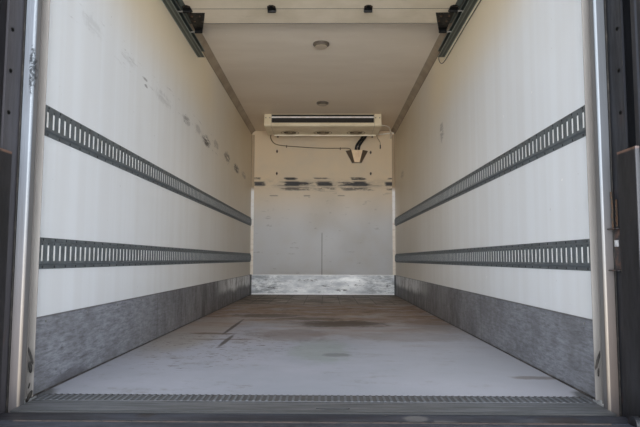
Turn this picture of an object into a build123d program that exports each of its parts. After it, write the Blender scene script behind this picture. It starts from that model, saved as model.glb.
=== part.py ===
from build123d import *
from math import cos, pi, radians, sin
import os

# Insulated box body of a refrigerated truck, with its cooling equipment, its overhead
# sectional door stored open under the roof, and its column tail lift at floor height.
# Millimetres, X to the right, Y forwards, Z up. The origin is the middle of the face that
# seats on the truck's chassis. Heights above the load floor are taken from FLOOR_Z.

# Load space and panels
INNER_W = 2200
INNER_H = 2510
BODY_L = 6620
WALL_T = 80
BULKHEAD_T = 80
ROOF_T = 85
FLOOR_T = 100

# Subframe
RAIL_W = 60
RAIL_H = 100
RAIL_SPACING = 860
TIE_W = 60
TIE_BAYS = 6
BEARER_W = 50
BEARER_H = 60
BEARER_WALL = 5
BEARER_COUNT = 11
BRACKET_W = 170
BRACKET_T = 8
BRACKET_RISE = 90
BRACKET_DROP = 90
BRACKET_Y = 2300
BRACKET_HOLE_R = 8
BRACKET_HOLE_SPACING = 110
BRACKET_HOLE_DROP = 50

# Rear frame
SILL_NOSE = 54
POST_DEPTH = 46
POST_W = 109
POST_WALL = 4
POST_EDGE_R = 9
HEADER_DROP = 310
SILL_LAND = 148
THRESHOLD_L = 94
SILL_PLATE_T = 6
SILL_NOSE_RISE = 24
RIB_PITCH = 25
RIB_W = 9
RIB_H = 4
LOCK_SLOT_W = 125
LOCK_SLOT_L = 22
LOCK_SLOT_X = 76
LOCK_SLOT_DEPTH = 18

# Outside trim
TRIM_T = 3
BASE_RAIL_H = 140
ROOF_RAIL_H = 90
CORNER_LEG = 80
TRIM_GAP = 1
MARKER_W = 100
MARKER_H = 36
MARKER_T = 16
MARKER_CORNER = 14
MARKER_YS = (-2600, 0, 2600)

# Inside lining
TIE_RAIL_H = 127
TIE_RAIL_RISE = 12.7
TIE_RAIL_T = 3
TIE_RAIL_FACE = 84
TIE_RAIL_SPLAY = 5
TIE_RAIL_LEVELS = (560, 1103)
TIE_SLOT_H = 64
TIE_SLOT_W = 16
TIE_SLOT_PITCH = 50.8
KICK_H = 306
KICK_T = 3
LINING_GAP = 26
COVE = 60
COVE_SAG = 23
CORNER_STRIP = 45
LIGHT_R = 75
LIGHT_H = 34
LIGHT_RIM_H = 12
LIGHT_RIM_W = 5
LIGHT_TAPER = 35
LIGHT_YS = (-316, 1644)

# Evaporator under the roof
EVAP_W = 1590
EVAP_FRONT_Y = 2180
EVAP_REAR_Y = 2740
EVAP_H = 175
EVAP_LEAN = 30
EVAP_NOSE_R = 25
EVAP_CHAMFER = 20
EVAP_SHEET = 6
EVAP_CHEEK_W = 98
EVAP_LIP_H = 50
EVAP_LIP_T = 15
EVAP_RAMP = 40
EVAP_FAN_SPACING = 470
EVAP_FAN_Y = 2575
EVAP_FAN_R = 112
EVAP_BELL_R = 122
VANE_H = 22
VANE_T = 4
VANE_TILT = -15
VANE_SETBACK = 45
VANE_RISE = 136
COIL_SETBACK = 80
COIL_DEPTH = 110

# Nose condenser outside the bulkhead
COND_W = 1640
COND_H = 620
COND_DEPTH = 400
COND_DROP = 190
COND_BROW_R = 150
COND_CHAMFER = 60
COND_FAN_X = 400
COND_FAN_RISE = 290
COND_FAN_R = 200
COND_BELL_R = 212
COND_BELL_DEPTH = 150
COND_LOUVRES = 6
COND_LOUVRE_W = 190
COND_LOUVRE_H = 14
COND_LOUVRE_PITCH = 34
COND_LOUVRE_DEPTH = 12

# Fans
HUB_R = 42
HUB_SIDES = 24
HUB_H = 46
BORE_R = 10
SPINDLE_GAP = 0.1
FAN_LIFT = 14
BLADES = 5
BLADE_T = 3
BLADE_PITCH = 28
BLADE_ROOT = 8
EVAP_BLADE_W = (50, 78)
COND_BLADE_W = (60, 120)
GUARD_BAR = 6
GUARD_T = 4
GUARD_RIM = 10
GUARD_LAP = 2
GUARD_BOSS_R = 34
GUARD_RING = 0.62
RING_SIDES = 24

# Overhead door
DOOR_W = 2050
DOOR_T = 38
DOOR_TOP_L = 259
DOOR_SECTIONS = 4
DOOR_LEAD_Y = -1066
DOOR_GAP = 2
TRACK_DEPTH = 64
TRACK_LEG_DEPTH = 28
TRACK_LEG_TOP = 700
TRACK_H = 56
TRACK_T = 3
TRACK_DROP = 150
TRACK_R = 320
TRACK_SETBACK = 4
TRACK_END_Y = -450
TRACK_FOOT = 10
ROLLER_GAP = 0.3
ROLLER_W = 22
ROLLER_DROP = 20
STEM_R = 6
HINGE_X = 355
HINGE_W = 60
LEAF_L = 60
LEAF_T = 5
LEAF_GAP = 2
LEAF_CORNER = 18
BARREL_R = 11
BARREL_SIDES = 10
END_HINGE_INSET = 45
TOP_ROLLER_REACH = 120
TOP_PLATE_L = 190
TOP_PLATE_W = 135
TOP_ARM_W = 60
SHAFT_HALF = 1000
SHAFT_R = 13
SHAFT_DROP = 44
SHAFT_Y = -2960
DRUM_R = 38
DRUM_W = 40
SPRING_R = 30
SPRING_L = 560
SPRING_START = 60
HANGER_W = 50
HANGER_T = 5
HANGER_REACH = 20

# Pipes on the bulkhead and rear lamps
COVER_X = 516
COVER_DROP = 310
COVER_H = 190
COVER_DEPTH = 85
COVER_WIDTHS = (345, 145)
COVER_FACE_WIDTHS = (166, 69)
TUBE_SIDES = 10
HOSE_D = 36
HOSE_PITCH = 46
HOSE_INSET = 123
HOSE_SHIFT = 29
DRAIN_D = 12
DRAIN_INSET = 155
DRAIN_SHIFT = 96
CONDUIT_D = 20
LAMP_X = 860
LAMP_W = 320
LAMP_H = 90
LAMP_T = 30
LAMP_RISE = 53
MARKER_DROP = 60

# Column tail lift
COLUMN_X = 1113
COLUMN_W = 100
COLUMN_DEPTH = 234
COLUMN_WALL = 8
COLUMN_SLOT = 64
COLUMN_LIP = 108
COLUMN_DROP = 210
COLUMN_LOW = -620
CAP_T = 6
RUN_GAP = 5
RUNNER_T = 14
RUNNER_LAP = 29
RUNNER_TOP = 925
SHOE_L = 500
PAD_L = 100
PAD_GAP = 0.3
BEAM_TOP = -6
BEAM_H = 73
BEAM_CHAMFER = 20
HINGE_SETBACK = -20
PLATFORM_L = 1600
PLATFORM_T = 60
PLATFORM_TIP_T = 14
PLATFORM_FLAT = 0.62
EAR_R = 28
EAR_T = 20
PIN_R = 15
PIN_GAP = 0.1
CUT_OVER = 1
LATCH_LOW = 500
LATCH_TOP = 655
LATCH_T = 4
LATCH_REACH = 25
LATCH_L = 66

# Places worked out from the sizes above
FLOOR_Z = RAIL_H + BEARER_H + FLOOR_T
PANEL_Z = RAIL_H + BEARER_H
HALF_IN = INNER_W / 2
HALF_OUT = HALF_IN + WALL_T
CEILING_Z = FLOOR_Z + INNER_H
ROOF_Z = CEILING_Z + ROOF_T
FRONT_Y = BODY_L / 2
REAR_Y = -BODY_L / 2
BULKHEAD_Y = FRONT_Y - BULKHEAD_T
POST_REAR_Y = REAR_Y + SILL_NOSE
POST_FRONT_Y = POST_REAR_Y + POST_DEPTH
POST_IN = HALF_OUT - POST_W
SILL_FRONT_Y = REAR_Y + SILL_LAND + THRESHOLD_L
PANEL_L = BULKHEAD_Y - POST_FRONT_Y
SILL_LAND_Y = REAR_Y + SILL_LAND
OPENING_H = INNER_H - HEADER_DROP
HEADER_Z = FLOOR_Z + OPENING_H
SIDES = (("left", -1), ("right", 1))

pieces = {}


def cross_plane(y):
    """Upright plane across the body at y, drawn in X and Z; extruding goes rearwards."""
    return Plane.XZ.offset(-y)


def side_plane(x):
    """Upright plane along the body at x, drawn in Y and Z; extruding goes to the right."""
    return Plane.YZ.offset(x)


# Subframe: two long rails, joined by ties between them, flush below
with BuildPart() as subframe_rails:
    with BuildSketch(cross_plane(FRONT_Y)):
        with Locations((-RAIL_SPACING / 2, RAIL_H / 2), (RAIL_SPACING / 2, RAIL_H / 2)):
            Rectangle(RAIL_W, RAIL_H)
    extrude(amount=FRONT_Y - POST_FRONT_Y)
pieces["subframe_rails"] = subframe_rails

TIE_L = RAIL_SPACING - RAIL_W
TIE_PITCH = (PANEL_L - TIE_W) / TIE_BAYS
with BuildPart() as subframe_ties:
    with BuildSketch(Plane.XY):
        with GridLocations(TIE_L, TIE_PITCH, 1, TIE_BAYS + 1):
            Rectangle(TIE_L, TIE_W)
    extrude(amount=RAIL_H)
pieces["subframe_ties"] = subframe_ties

# Cross bearers: channels across the rails, under the floor
BEARER_PITCH = (PANEL_L - BEARER_W) / (BEARER_COUNT - 1)
BEARER_MID_Y = (POST_FRONT_Y + BULKHEAD_Y) / 2
with BuildPart() as cross_bearers:
    with BuildSketch(side_plane(-HALF_IN)):
        with Locations((BEARER_MID_Y, RAIL_H + BEARER_H / 2)):
            with GridLocations(BEARER_PITCH, BEARER_H, BEARER_COUNT, 1):
                Rectangle(BEARER_W, BEARER_H)
                with Locations((BEARER_WALL, 0)):
                    Rectangle(BEARER_W, BEARER_H - 2 * BEARER_WALL, mode=Mode.SUBTRACT)
    extrude(amount=INNER_W)
pieces["cross_bearers"] = cross_bearers

# Chassis brackets: plates on the rails' outer sides, drilled below the seat
BRACKET_H = BRACKET_RISE + BRACKET_DROP
with BuildPart() as chassis_brackets:
    for side, sign in SIDES:
        with BuildSketch(side_plane(sign * (RAIL_SPACING / 2 + RAIL_W / 2 + BRACKET_T / 2))):
            for bracket_y in (-BRACKET_Y, BRACKET_Y):
                with Locations((bracket_y, BRACKET_RISE - BRACKET_H / 2)):
                    Rectangle(BRACKET_W, BRACKET_H)
                with Locations((bracket_y, -BRACKET_HOLE_DROP)):
                    with GridLocations(BRACKET_HOLE_SPACING, 1, 2, 1):
                        Circle(BRACKET_HOLE_R, mode=Mode.SUBTRACT)
        extrude(amount=BRACKET_T / 2, both=True)
pieces["chassis_brackets"] = chassis_brackets

# Insulated panels: floor between the walls, walls, bulkhead and roof
with BuildPart() as floor_panel:
    with BuildSketch(cross_plane(BULKHEAD_Y)):
        with Locations((0, PANEL_Z + FLOOR_T / 2)):
            Rectangle(INNER_W, FLOOR_T)
    extrude(amount=BULKHEAD_Y - SILL_FRONT_Y)
pieces["floor_panel"] = floor_panel

for side, sign in SIDES:
    with BuildPart() as wall:
        with BuildSketch(cross_plane(BULKHEAD_Y)):
            with Locations((sign * (HALF_IN + WALL_T / 2), (PANEL_Z + CEILING_Z) / 2)):
                Rectangle(WALL_T, CEILING_Z - PANEL_Z)
        extrude(amount=PANEL_L)
    pieces[f"{side}_wall"] = wall

with BuildPart() as bulkhead:
    with BuildSketch(Plane.XY.offset(PANEL_Z)):
        with Locations((0, FRONT_Y - BULKHEAD_T / 2)):
            Rectangle(2 * HALF_OUT, BULKHEAD_T)
    extrude(amount=CEILING_Z - PANEL_Z)
pieces["bulkhead"] = bulkhead

with BuildPart() as roof_panel:
    with BuildSketch(cross_plane(FRONT_Y)):
        with Locations((0, CEILING_Z + ROOF_T / 2)):
            Rectangle(2 * HALF_OUT, ROOF_T)
    extrude(amount=FRONT_Y - POST_FRONT_Y)
pieces["roof_panel"] = roof_panel

# Rear frame: hollow stainless posts and header, and the sill with its land and threshold
for side, sign in SIDES:
    with BuildPart() as post:
        with BuildSketch(Plane.XY.offset(RAIL_H)):
            with Locations((sign * (POST_IN + POST_W / 2), POST_REAR_Y + POST_DEPTH / 2)):
                RectangleRounded(POST_W, POST_DEPTH, POST_EDGE_R)
                RectangleRounded(POST_W - 2 * POST_WALL, POST_DEPTH - 2 * POST_WALL,
                                 POST_EDGE_R - POST_WALL, mode=Mode.SUBTRACT)
        extrude(amount=ROOF_Z - RAIL_H)
    pieces[f"rear_{side}_post"] = post

with BuildPart() as rear_header:
    with BuildSketch(side_plane(-POST_IN)):
        with Locations((POST_REAR_Y + POST_DEPTH / 2, (HEADER_Z + ROOF_Z) / 2)):
            Rectangle(POST_DEPTH, ROOF_Z - HEADER_Z)
            Rectangle(POST_DEPTH - 2 * POST_WALL, ROOF_Z - HEADER_Z - 2 * POST_WALL,
                      mode=Mode.SUBTRACT)
    extrude(amount=2 * POST_IN)
pieces["rear_header"] = rear_header

with BuildPart() as rear_sill:
    with BuildSketch(side_plane(-POST_IN)):
        with BuildLine():
            Polyline(
                (REAR_Y, FLOOR_Z),
                (SILL_FRONT_Y, FLOOR_Z),
                (SILL_FRONT_Y, PANEL_Z),
                (POST_FRONT_Y, PANEL_Z),
                (POST_FRONT_Y, RAIL_H),
                (POST_REAR_Y, RAIL_H),
                (POST_REAR_Y, FLOOR_Z - SILL_NOSE_RISE),
                (REAR_Y, FLOOR_Z - SILL_PLATE_T),
                close=True,
            )
        make_face()
    extrude(amount=2 * POST_IN)
    with BuildSketch(Plane.XY.offset(FLOOR_Z)):
        with Locations((LOCK_SLOT_X, POST_REAR_Y)):
            SlotOverall(LOCK_SLOT_W, LOCK_SLOT_L)
    extrude(amount=-LOCK_SLOT_DEPTH, mode=Mode.SUBTRACT)
pieces["rear_sill"] = rear_sill

RIB_COUNT = int((2 * POST_IN - RIB_W) / RIB_PITCH)
with BuildPart() as threshold:
    with BuildSketch(cross_plane(SILL_FRONT_Y)):
        with Locations((0, FLOOR_Z + RIB_H / 4)):
            Rectangle(2 * POST_IN, RIB_H / 2)
        with Locations((0, FLOOR_Z + RIB_H / 2)):
            with GridLocations(RIB_PITCH, 1, RIB_COUNT, 1):
                Rectangle(RIB_W, RIB_H)
    extrude(amount=THRESHOLD_L)
pieces["threshold"] = threshold

# Outside trim: folded aluminium rails along the foot and the roof edge, rounded front corners
with BuildPart() as base_rails:
    for side, sign in SIDES:
        with BuildSketch(cross_plane(FRONT_Y)):
            with BuildLine():
                Polyline(
                    (sign * (HALF_OUT + TRIM_T), PANEL_Z + BASE_RAIL_H),
                    (sign * (HALF_OUT + TRIM_T), PANEL_Z - TRIM_T),
                    (sign * HALF_IN, PANEL_Z - TRIM_T),
                    (sign * HALF_IN, PANEL_Z),
                    (sign * HALF_OUT, PANEL_Z),
                    (sign * HALF_OUT, PANEL_Z + BASE_RAIL_H),
                    close=True,
                )
            make_face()
        extrude(amount=FRONT_Y - POST_FRONT_Y)
pieces["base_rails"] = base_rails

with BuildPart() as roof_rails:
    for side, sign in SIDES:
        with BuildSketch(cross_plane(FRONT_Y)):
            with BuildLine():
                Polyline(
                    (sign * HALF_OUT, ROOF_Z - ROOF_RAIL_H),
                    (sign * HALF_OUT, ROOF_Z),
                    (sign * (HALF_OUT - ROOF_RAIL_H), ROOF_Z),
                    (sign * (HALF_OUT - ROOF_RAIL_H), ROOF_Z + TRIM_T),
                    (sign * (HALF_OUT + TRIM_T), ROOF_Z + TRIM_T),
                    (sign * (HALF_OUT + TRIM_T), ROOF_Z - ROOF_RAIL_H),
                    close=True,
                )
            make_face()
        extrude(amount=FRONT_Y - POST_FRONT_Y)
pieces["roof_rails"] = roof_rails

CORNER_LOW = PANEL_Z + BASE_RAIL_H + TRIM_GAP
CORNER_TOP = ROOF_Z - ROOF_RAIL_H - TRIM_GAP
with BuildPart() as front_corners:
    for side, sign in SIDES:
        with BuildSketch(Plane.XY.offset(CORNER_LOW)):
            with BuildLine():
                Polyline(
                    (sign * (HALF_OUT - CORNER_LEG), FRONT_Y),
                    (sign * HALF_OUT, FRONT_Y),
                    (sign * HALF_OUT, FRONT_Y - CORNER_LEG),
                    (sign * (HALF_OUT + TRIM_T), FRONT_Y - CORNER_LEG),
                    (sign * (HALF_OUT + TRIM_T), FRONT_Y + TRIM_T),
                    (sign * (HALF_OUT - CORNER_LEG), FRONT_Y + TRIM_T),
                    close=True,
                )
            make_face()
        extrude(amount=CORNER_TOP - CORNER_LOW)
pieces["front_corners"] = front_corners

# Side marker lamps on the foot rails
with BuildPart() as side_markers:
    for side, sign in SIDES:
        with BuildSketch(side_plane(sign * (HALF_OUT + TRIM_T))):
            for marker_y in MARKER_YS:
                with Locations((marker_y, PANEL_Z + BASE_RAIL_H / 2)):
                    Rectangle(MARKER_W, MARKER_H)
        extrude(amount=sign * MARKER_T)
    chamfer(side_markers.edges().filter_by(Axis.X), MARKER_CORNER)
pieces["side_markers"] = side_markers

# Slotted tie rails: pressed steel hat sections along both walls, one slot every 50.8 mm
LINING_REAR_Y = POST_FRONT_Y + TRACK_SETBACK + TRACK_H + LINING_GAP
TIE_RAIL_L = BULKHEAD_Y - LINING_REAR_Y - KICK_T
TIE_RAIL_MID_Y = LINING_REAR_Y + TIE_RAIL_L / 2
SLOT_COUNT = int(TIE_RAIL_L / TIE_SLOT_PITCH)
FACE_HALF = TIE_RAIL_FACE / 2
FOOT_HALF = FACE_HALF + TIE_RAIL_SPLAY
with BuildPart() as tie_rail:
    with BuildSketch(side_plane(-TIE_RAIL_RISE)):
        Rectangle(TIE_RAIL_L, 2 * FACE_HALF)
        with GridLocations(TIE_SLOT_PITCH, 1, SLOT_COUNT, 1):
            Rectangle(TIE_SLOT_W, TIE_SLOT_H, mode=Mode.SUBTRACT)
    extrude(amount=TIE_RAIL_T)
    with BuildSketch(cross_plane(TIE_RAIL_L / 2)):
        for half in (-1, 1):
            with BuildLine():
                Polyline(
                    (-TIE_RAIL_RISE + TIE_RAIL_T, half * FACE_HALF),
                    (-TIE_RAIL_RISE, half * FACE_HALF),
                    (-TIE_RAIL_T, half * FOOT_HALF),
                    (-TIE_RAIL_T, half * TIE_RAIL_H / 2),
                    (0, half * TIE_RAIL_H / 2),
                    (0, half * (FOOT_HALF - TIE_RAIL_T)),
                    close=True,
                )
            make_face()
    extrude(amount=TIE_RAIL_L)

RAIL_TURNS = {"left": 180, "right": 0}
for side, sign in SIDES:
    with BuildPart() as tie_rails:
        for level in TIE_RAIL_LEVELS:
            place = (sign * HALF_IN, TIE_RAIL_MID_Y, FLOOR_Z + level)
            with Locations(Location(place, (0, 0, RAIL_TURNS[side]))):
                add(tie_rail.part)
    pieces[f"{side}_tie_rails"] = tie_rails

# Kick plates: aluminium sheet along the foot of the walls and of the bulkhead
with BuildPart() as side_kick_plates:
    for side, sign in SIDES:
        with BuildSketch(cross_plane(BULKHEAD_Y)):
            with Locations((sign * (HALF_IN - KICK_T / 2), FLOOR_Z + KICK_H / 2)):
                Rectangle(KICK_T, KICK_H)
        extrude(amount=BULKHEAD_Y - LINING_REAR_Y)
pieces["side_kick_plates"] = side_kick_plates

with BuildPart() as front_kick_plate:
    with BuildSketch(cross_plane(BULKHEAD_Y)):
        with Locations((0, FLOOR_Z + KICK_H / 2)):
            Rectangle(INNER_W - 2 * KICK_T, KICK_H)
    extrude(amount=KICK_T)
pieces["front_kick_plate"] = front_kick_plate

# Coves along the ceiling corners and strips up the bulkhead corners
with BuildPart() as coves:
    for side, sign in SIDES:
        with BuildSketch(cross_plane(BULKHEAD_Y)):
            with BuildLine():
                Polyline(
                    (sign * (HALF_IN - COVE), CEILING_Z),
                    (sign * HALF_IN, CEILING_Z),
                    (sign * HALF_IN, CEILING_Z - COVE),
                )
                ThreePointArc(
                    (sign * HALF_IN, CEILING_Z - COVE),
                    (sign * (HALF_IN - COVE_SAG), CEILING_Z - COVE_SAG),
                    (sign * (HALF_IN - COVE), CEILING_Z),
                )
            make_face()
        extrude(amount=PANEL_L)
pieces["coves"] = coves

with BuildPart() as corner_strips:
    for side, sign in SIDES:
        with BuildSketch(Plane.XY.offset(FLOOR_Z + KICK_H)):
            with BuildLine():
                Polyline(
                    (sign * (HALF_IN - CORNER_STRIP), BULKHEAD_Y),
                    (sign * HALF_IN, BULKHEAD_Y),
                    (sign * HALF_IN, BULKHEAD_Y - KICK_T),
                    (sign * (HALF_IN - CORNER_STRIP), BULKHEAD_Y - KICK_T),
                    close=True,
                )
            make_face()
        extrude(amount=INNER_H - COVE - KICK_H)
pieces["corner_strips"] = corner_strips

# Two round ceiling lights: a flat rim and a domed lens
with BuildPart() as ceiling_lights:
    for light_y in LIGHT_YS:
        with BuildSketch(Plane((0, light_y, CEILING_Z - LIGHT_RIM_H))):
            Circle(LIGHT_R)
        extrude(amount=LIGHT_RIM_H)
        with BuildSketch(Plane((0, light_y, CEILING_Z - LIGHT_RIM_H), z_dir=(0, 0, -1))):
            Circle(LIGHT_R - LIGHT_RIM_W)
        extrude(amount=LIGHT_H - LIGHT_RIM_H, taper=LIGHT_TAPER)
pieces["ceiling_lights"] = ceiling_lights

# Evaporator: moulded housing with an air slot in front and three fan openings below
EVAP_TOP = CEILING_Z
EVAP_LOW = CEILING_Z - EVAP_H
EVAP_SLOT_W = EVAP_W - 2 * EVAP_CHEEK_W
EVAP_FAN_XS = (-EVAP_FAN_SPACING, 0, EVAP_FAN_SPACING)
SLOT_LOW = EVAP_LOW + EVAP_LIP_H
with BuildPart() as evaporator_housing:
    with BuildSketch(side_plane(-EVAP_W / 2)):
        nose_low = (EVAP_FRONT_Y + EVAP_NOSE_R, EVAP_LOW)
        nose_top = (EVAP_FRONT_Y, EVAP_LOW + EVAP_NOSE_R)
        brow = (EVAP_FRONT_Y + EVAP_LEAN, EVAP_TOP)
        with BuildLine():
            Polyline(
                brow,
                (EVAP_REAR_Y, EVAP_TOP),
                (EVAP_REAR_Y, EVAP_LOW + EVAP_CHAMFER),
                (EVAP_REAR_Y - EVAP_CHAMFER, EVAP_LOW),
                nose_low,
            )
            TangentArc(nose_low, nose_top, tangent=(-1, 0))
            Line(nose_top, brow)
        make_face()
    extrude(amount=EVAP_W)
    with BuildSketch(side_plane(-EVAP_SLOT_W / 2)):
        with BuildLine():
            Polyline(
                (EVAP_FRONT_Y - EVAP_SHEET, EVAP_TOP - EVAP_SHEET),
                (EVAP_REAR_Y - EVAP_SHEET, EVAP_TOP - EVAP_SHEET),
                (EVAP_REAR_Y - EVAP_SHEET, EVAP_LOW + EVAP_CHAMFER),
                (EVAP_REAR_Y - EVAP_CHAMFER - EVAP_SHEET, EVAP_LOW + EVAP_SHEET),
                (EVAP_FRONT_Y + EVAP_RAMP, EVAP_LOW + EVAP_SHEET),
                (EVAP_FRONT_Y + EVAP_LIP_T, SLOT_LOW),
                (EVAP_FRONT_Y - EVAP_SHEET, SLOT_LOW),
                close=True,
            )
        make_face()
    extrude(amount=EVAP_SLOT_W, mode=Mode.SUBTRACT)
    with BuildSketch(Plane.XY.offset(EVAP_LOW)):
        for fan_x in EVAP_FAN_XS:
            with Locations((fan_x, EVAP_FAN_Y)):
                Circle(EVAP_BELL_R)
    extrude(amount=EVAP_SHEET, mode=Mode.SUBTRACT)
pieces["evaporator_housing"] = evaporator_housing

with BuildPart() as evaporator_vane:
    with BuildSketch(side_plane(-EVAP_SLOT_W / 2)):
        with Locations((EVAP_FRONT_Y + VANE_SETBACK, EVAP_LOW + VANE_RISE)):
            Rectangle(VANE_T, VANE_H, rotation=VANE_TILT)
    extrude(amount=EVAP_SLOT_W)
pieces["evaporator_vane"] = evaporator_vane

COIL_Y = EVAP_FRONT_Y + COIL_SETBACK + COIL_DEPTH / 2
with BuildPart() as evaporator_coil:
    with BuildSketch(side_plane(-EVAP_SLOT_W / 2)):
        with Locations((COIL_Y, (EVAP_TOP + EVAP_LOW) / 2)):
            Rectangle(COIL_DEPTH, EVAP_H - 2 * EVAP_SHEET)
    extrude(amount=EVAP_SLOT_W)
pieces["evaporator_coil"] = evaporator_coil


# Fans: a guard across each opening carries the motor's spindle, and the rotor turns on it
def fan_guard(plane, bell_r, spindle_l):
    """Ring, cross bars and boss in front of the plane, with the spindle behind it."""
    with BuildPart() as guard:
        with BuildSketch(plane):
            RegularPolygon(bell_r + GUARD_RIM, RING_SIDES)
            RegularPolygon(bell_r - GUARD_LAP, RING_SIDES, mode=Mode.SUBTRACT)
            RegularPolygon(bell_r * GUARD_RING, RING_SIDES)
            RegularPolygon(bell_r * GUARD_RING - GUARD_BAR, RING_SIDES, mode=Mode.SUBTRACT)
            Rectangle(2 * bell_r, GUARD_BAR)
            Rectangle(GUARD_BAR, 2 * bell_r)
            RegularPolygon(GUARD_BOSS_R, HUB_SIDES)
        extrude(amount=GUARD_T)
        with BuildSketch(plane):
            Circle(BORE_R)
        extrude(amount=-spindle_l)
    return guard.part


def fan_rotor(plane, tip_r, blade_w):
    """Bored hub with flat pitched blades that widen to the tips, standing behind the plane."""
    root_half, tip_half = (width / 2 for width in blade_w)
    root_r = HUB_R - BLADE_ROOT
    tilt = radians(BLADE_PITCH)
    with BuildPart() as rotor:
        with BuildSketch(plane.offset(-FAN_LIFT)):
            RegularPolygon(HUB_R, HUB_SIDES)
            Circle(BORE_R + SPINDLE_GAP, mode=Mode.SUBTRACT)
        extrude(amount=-HUB_H)
        for turn in range(BLADES):
            angle = turn * 2 * pi / BLADES
            outward = plane.x_dir * cos(angle) + plane.y_dir * sin(angle)
            across = plane.z_dir.cross(outward)
            hub_middle = plane.origin - plane.z_dir * (FAN_LIFT + HUB_H / 2)
            with BuildSketch(Plane(hub_middle, x_dir=outward,
                                   z_dir=plane.z_dir * cos(tilt) - across * sin(tilt))):
                with BuildLine():
                    Polyline((root_r, -root_half), (tip_r, -tip_half), (tip_r, tip_half),
                             (root_r, root_half), close=True)
                make_face()
            extrude(amount=BLADE_T / 2, both=True)
    return rotor


evaporator_planes = [Plane((x, EVAP_FAN_Y, EVAP_LOW), z_dir=(0, 0, -1)) for x in EVAP_FAN_XS]
with BuildPart() as evaporator_fan_guards:
    for plane in evaporator_planes:
        add(fan_guard(plane, EVAP_BELL_R, FAN_LIFT + HUB_H))
pieces["evaporator_fan_guards"] = evaporator_fan_guards

for fan_name, plane in zip(("left", "middle", "right"), evaporator_planes):
    pieces[f"evaporator_{fan_name}_rotor"] = fan_rotor(plane, EVAP_FAN_R, EVAP_BLADE_W)

# Nose condenser: rounded housing over the cab, two fan openings and two louvred panels
COND_TOP = CEILING_Z - COND_DROP
COND_Z = COND_TOP - COND_H
COND_FRONT = FRONT_Y + COND_DEPTH
COND_FAN_Z = COND_Z + COND_FAN_RISE
with BuildPart() as condenser_housing:
    with BuildSketch(side_plane(-COND_W / 2)):
        brow_low = (COND_FRONT, COND_TOP - COND_BROW_R)
        brow_top = (COND_FRONT - COND_BROW_R, COND_TOP)
        with BuildLine():
            Polyline(
                brow_top,
                (FRONT_Y, COND_TOP),
                (FRONT_Y, COND_Z),
                (COND_FRONT - COND_CHAMFER, COND_Z),
                (COND_FRONT, COND_Z + COND_CHAMFER),
                brow_low,
            )
            TangentArc(brow_low, brow_top, tangent=(0, 1))
        make_face()
    extrude(amount=COND_W)
    with BuildSketch(cross_plane(COND_FRONT)):
        with Locations((-COND_FAN_X, COND_FAN_Z), (COND_FAN_X, COND_FAN_Z)):
            Circle(COND_BELL_R)
    extrude(amount=COND_BELL_DEPTH, mode=Mode.SUBTRACT)
    with BuildSketch(cross_plane(COND_FRONT)):
        with Locations((0, COND_FAN_Z)):
            with GridLocations(1, COND_LOUVRE_PITCH, 1, COND_LOUVRES):
                Rectangle(COND_LOUVRE_W, COND_LOUVRE_H)
    extrude(amount=COND_LOUVRE_DEPTH, mode=Mode.SUBTRACT)
pieces["condenser_housing"] = condenser_housing

condenser_planes = [Plane((sign * COND_FAN_X, COND_FRONT, COND_FAN_Z), x_dir=(1, 0, 0),
                          z_dir=(0, 1, 0)) for side, sign in SIDES]
with BuildPart() as condenser_fan_guards:
    for plane in condenser_planes:
        add(fan_guard(plane, COND_BELL_R, FAN_LIFT + HUB_H))
pieces["condenser_fan_guards"] = condenser_fan_guards

for (side, sign), plane in zip(SIDES, condenser_planes):
    pieces[f"condenser_{side}_rotor"] = fan_rotor(plane, COND_FAN_R, COND_BLADE_W)

# Overhead door. Rollers follow the track's middle line: up the posts, round, and along
TRACK_LINE_Y = POST_FRONT_Y + TRACK_SETBACK + TRACK_H / 2
TRACK_LINE_Z = CEILING_Z - TRACK_DROP
BEND_Y = TRACK_LINE_Y + TRACK_R
BEND_Z = TRACK_LINE_Z - TRACK_R
BEND_L = TRACK_R * pi / 2


def track_point(along):
    """Point of the roller line, measured back from the front end of the bend."""
    if along < 0:
        return Vector(0, BEND_Y - along, TRACK_LINE_Z)
    if along < BEND_L:
        angle = along / TRACK_R
        return Vector(0, BEND_Y - TRACK_R * sin(angle), BEND_Z + TRACK_R * cos(angle))
    return Vector(0, TRACK_LINE_Y, BEND_Z - (along - BEND_L))


section_lengths = [DOOR_TOP_L]
section_lengths += [(OPENING_H - DOOR_TOP_L) / DOOR_SECTIONS] * DOOR_SECTIONS
section_planes = []
along = BEND_Y - DOOR_LEAD_Y
for section_l in section_lengths:
    front = track_point(along)
    rear = track_point(along + section_l)
    heading = (rear - front).normalized()
    inward = Vector(0, -heading.Z, heading.Y)
    section_planes.append(Plane(front - inward * ROLLER_DROP, x_dir=(1, 0, 0), z_dir=inward))
    along += section_l

for number, (section_l, plane) in enumerate(zip(section_lengths, section_planes), start=1):
    with BuildPart() as section:
        with BuildSketch(plane):
            with Locations((0, section_l / 2)):
                Rectangle(DOOR_W, section_l - DOOR_GAP)
        extrude(amount=-DOOR_T)
    pieces[f"door_section_{number}"] = section


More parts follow.
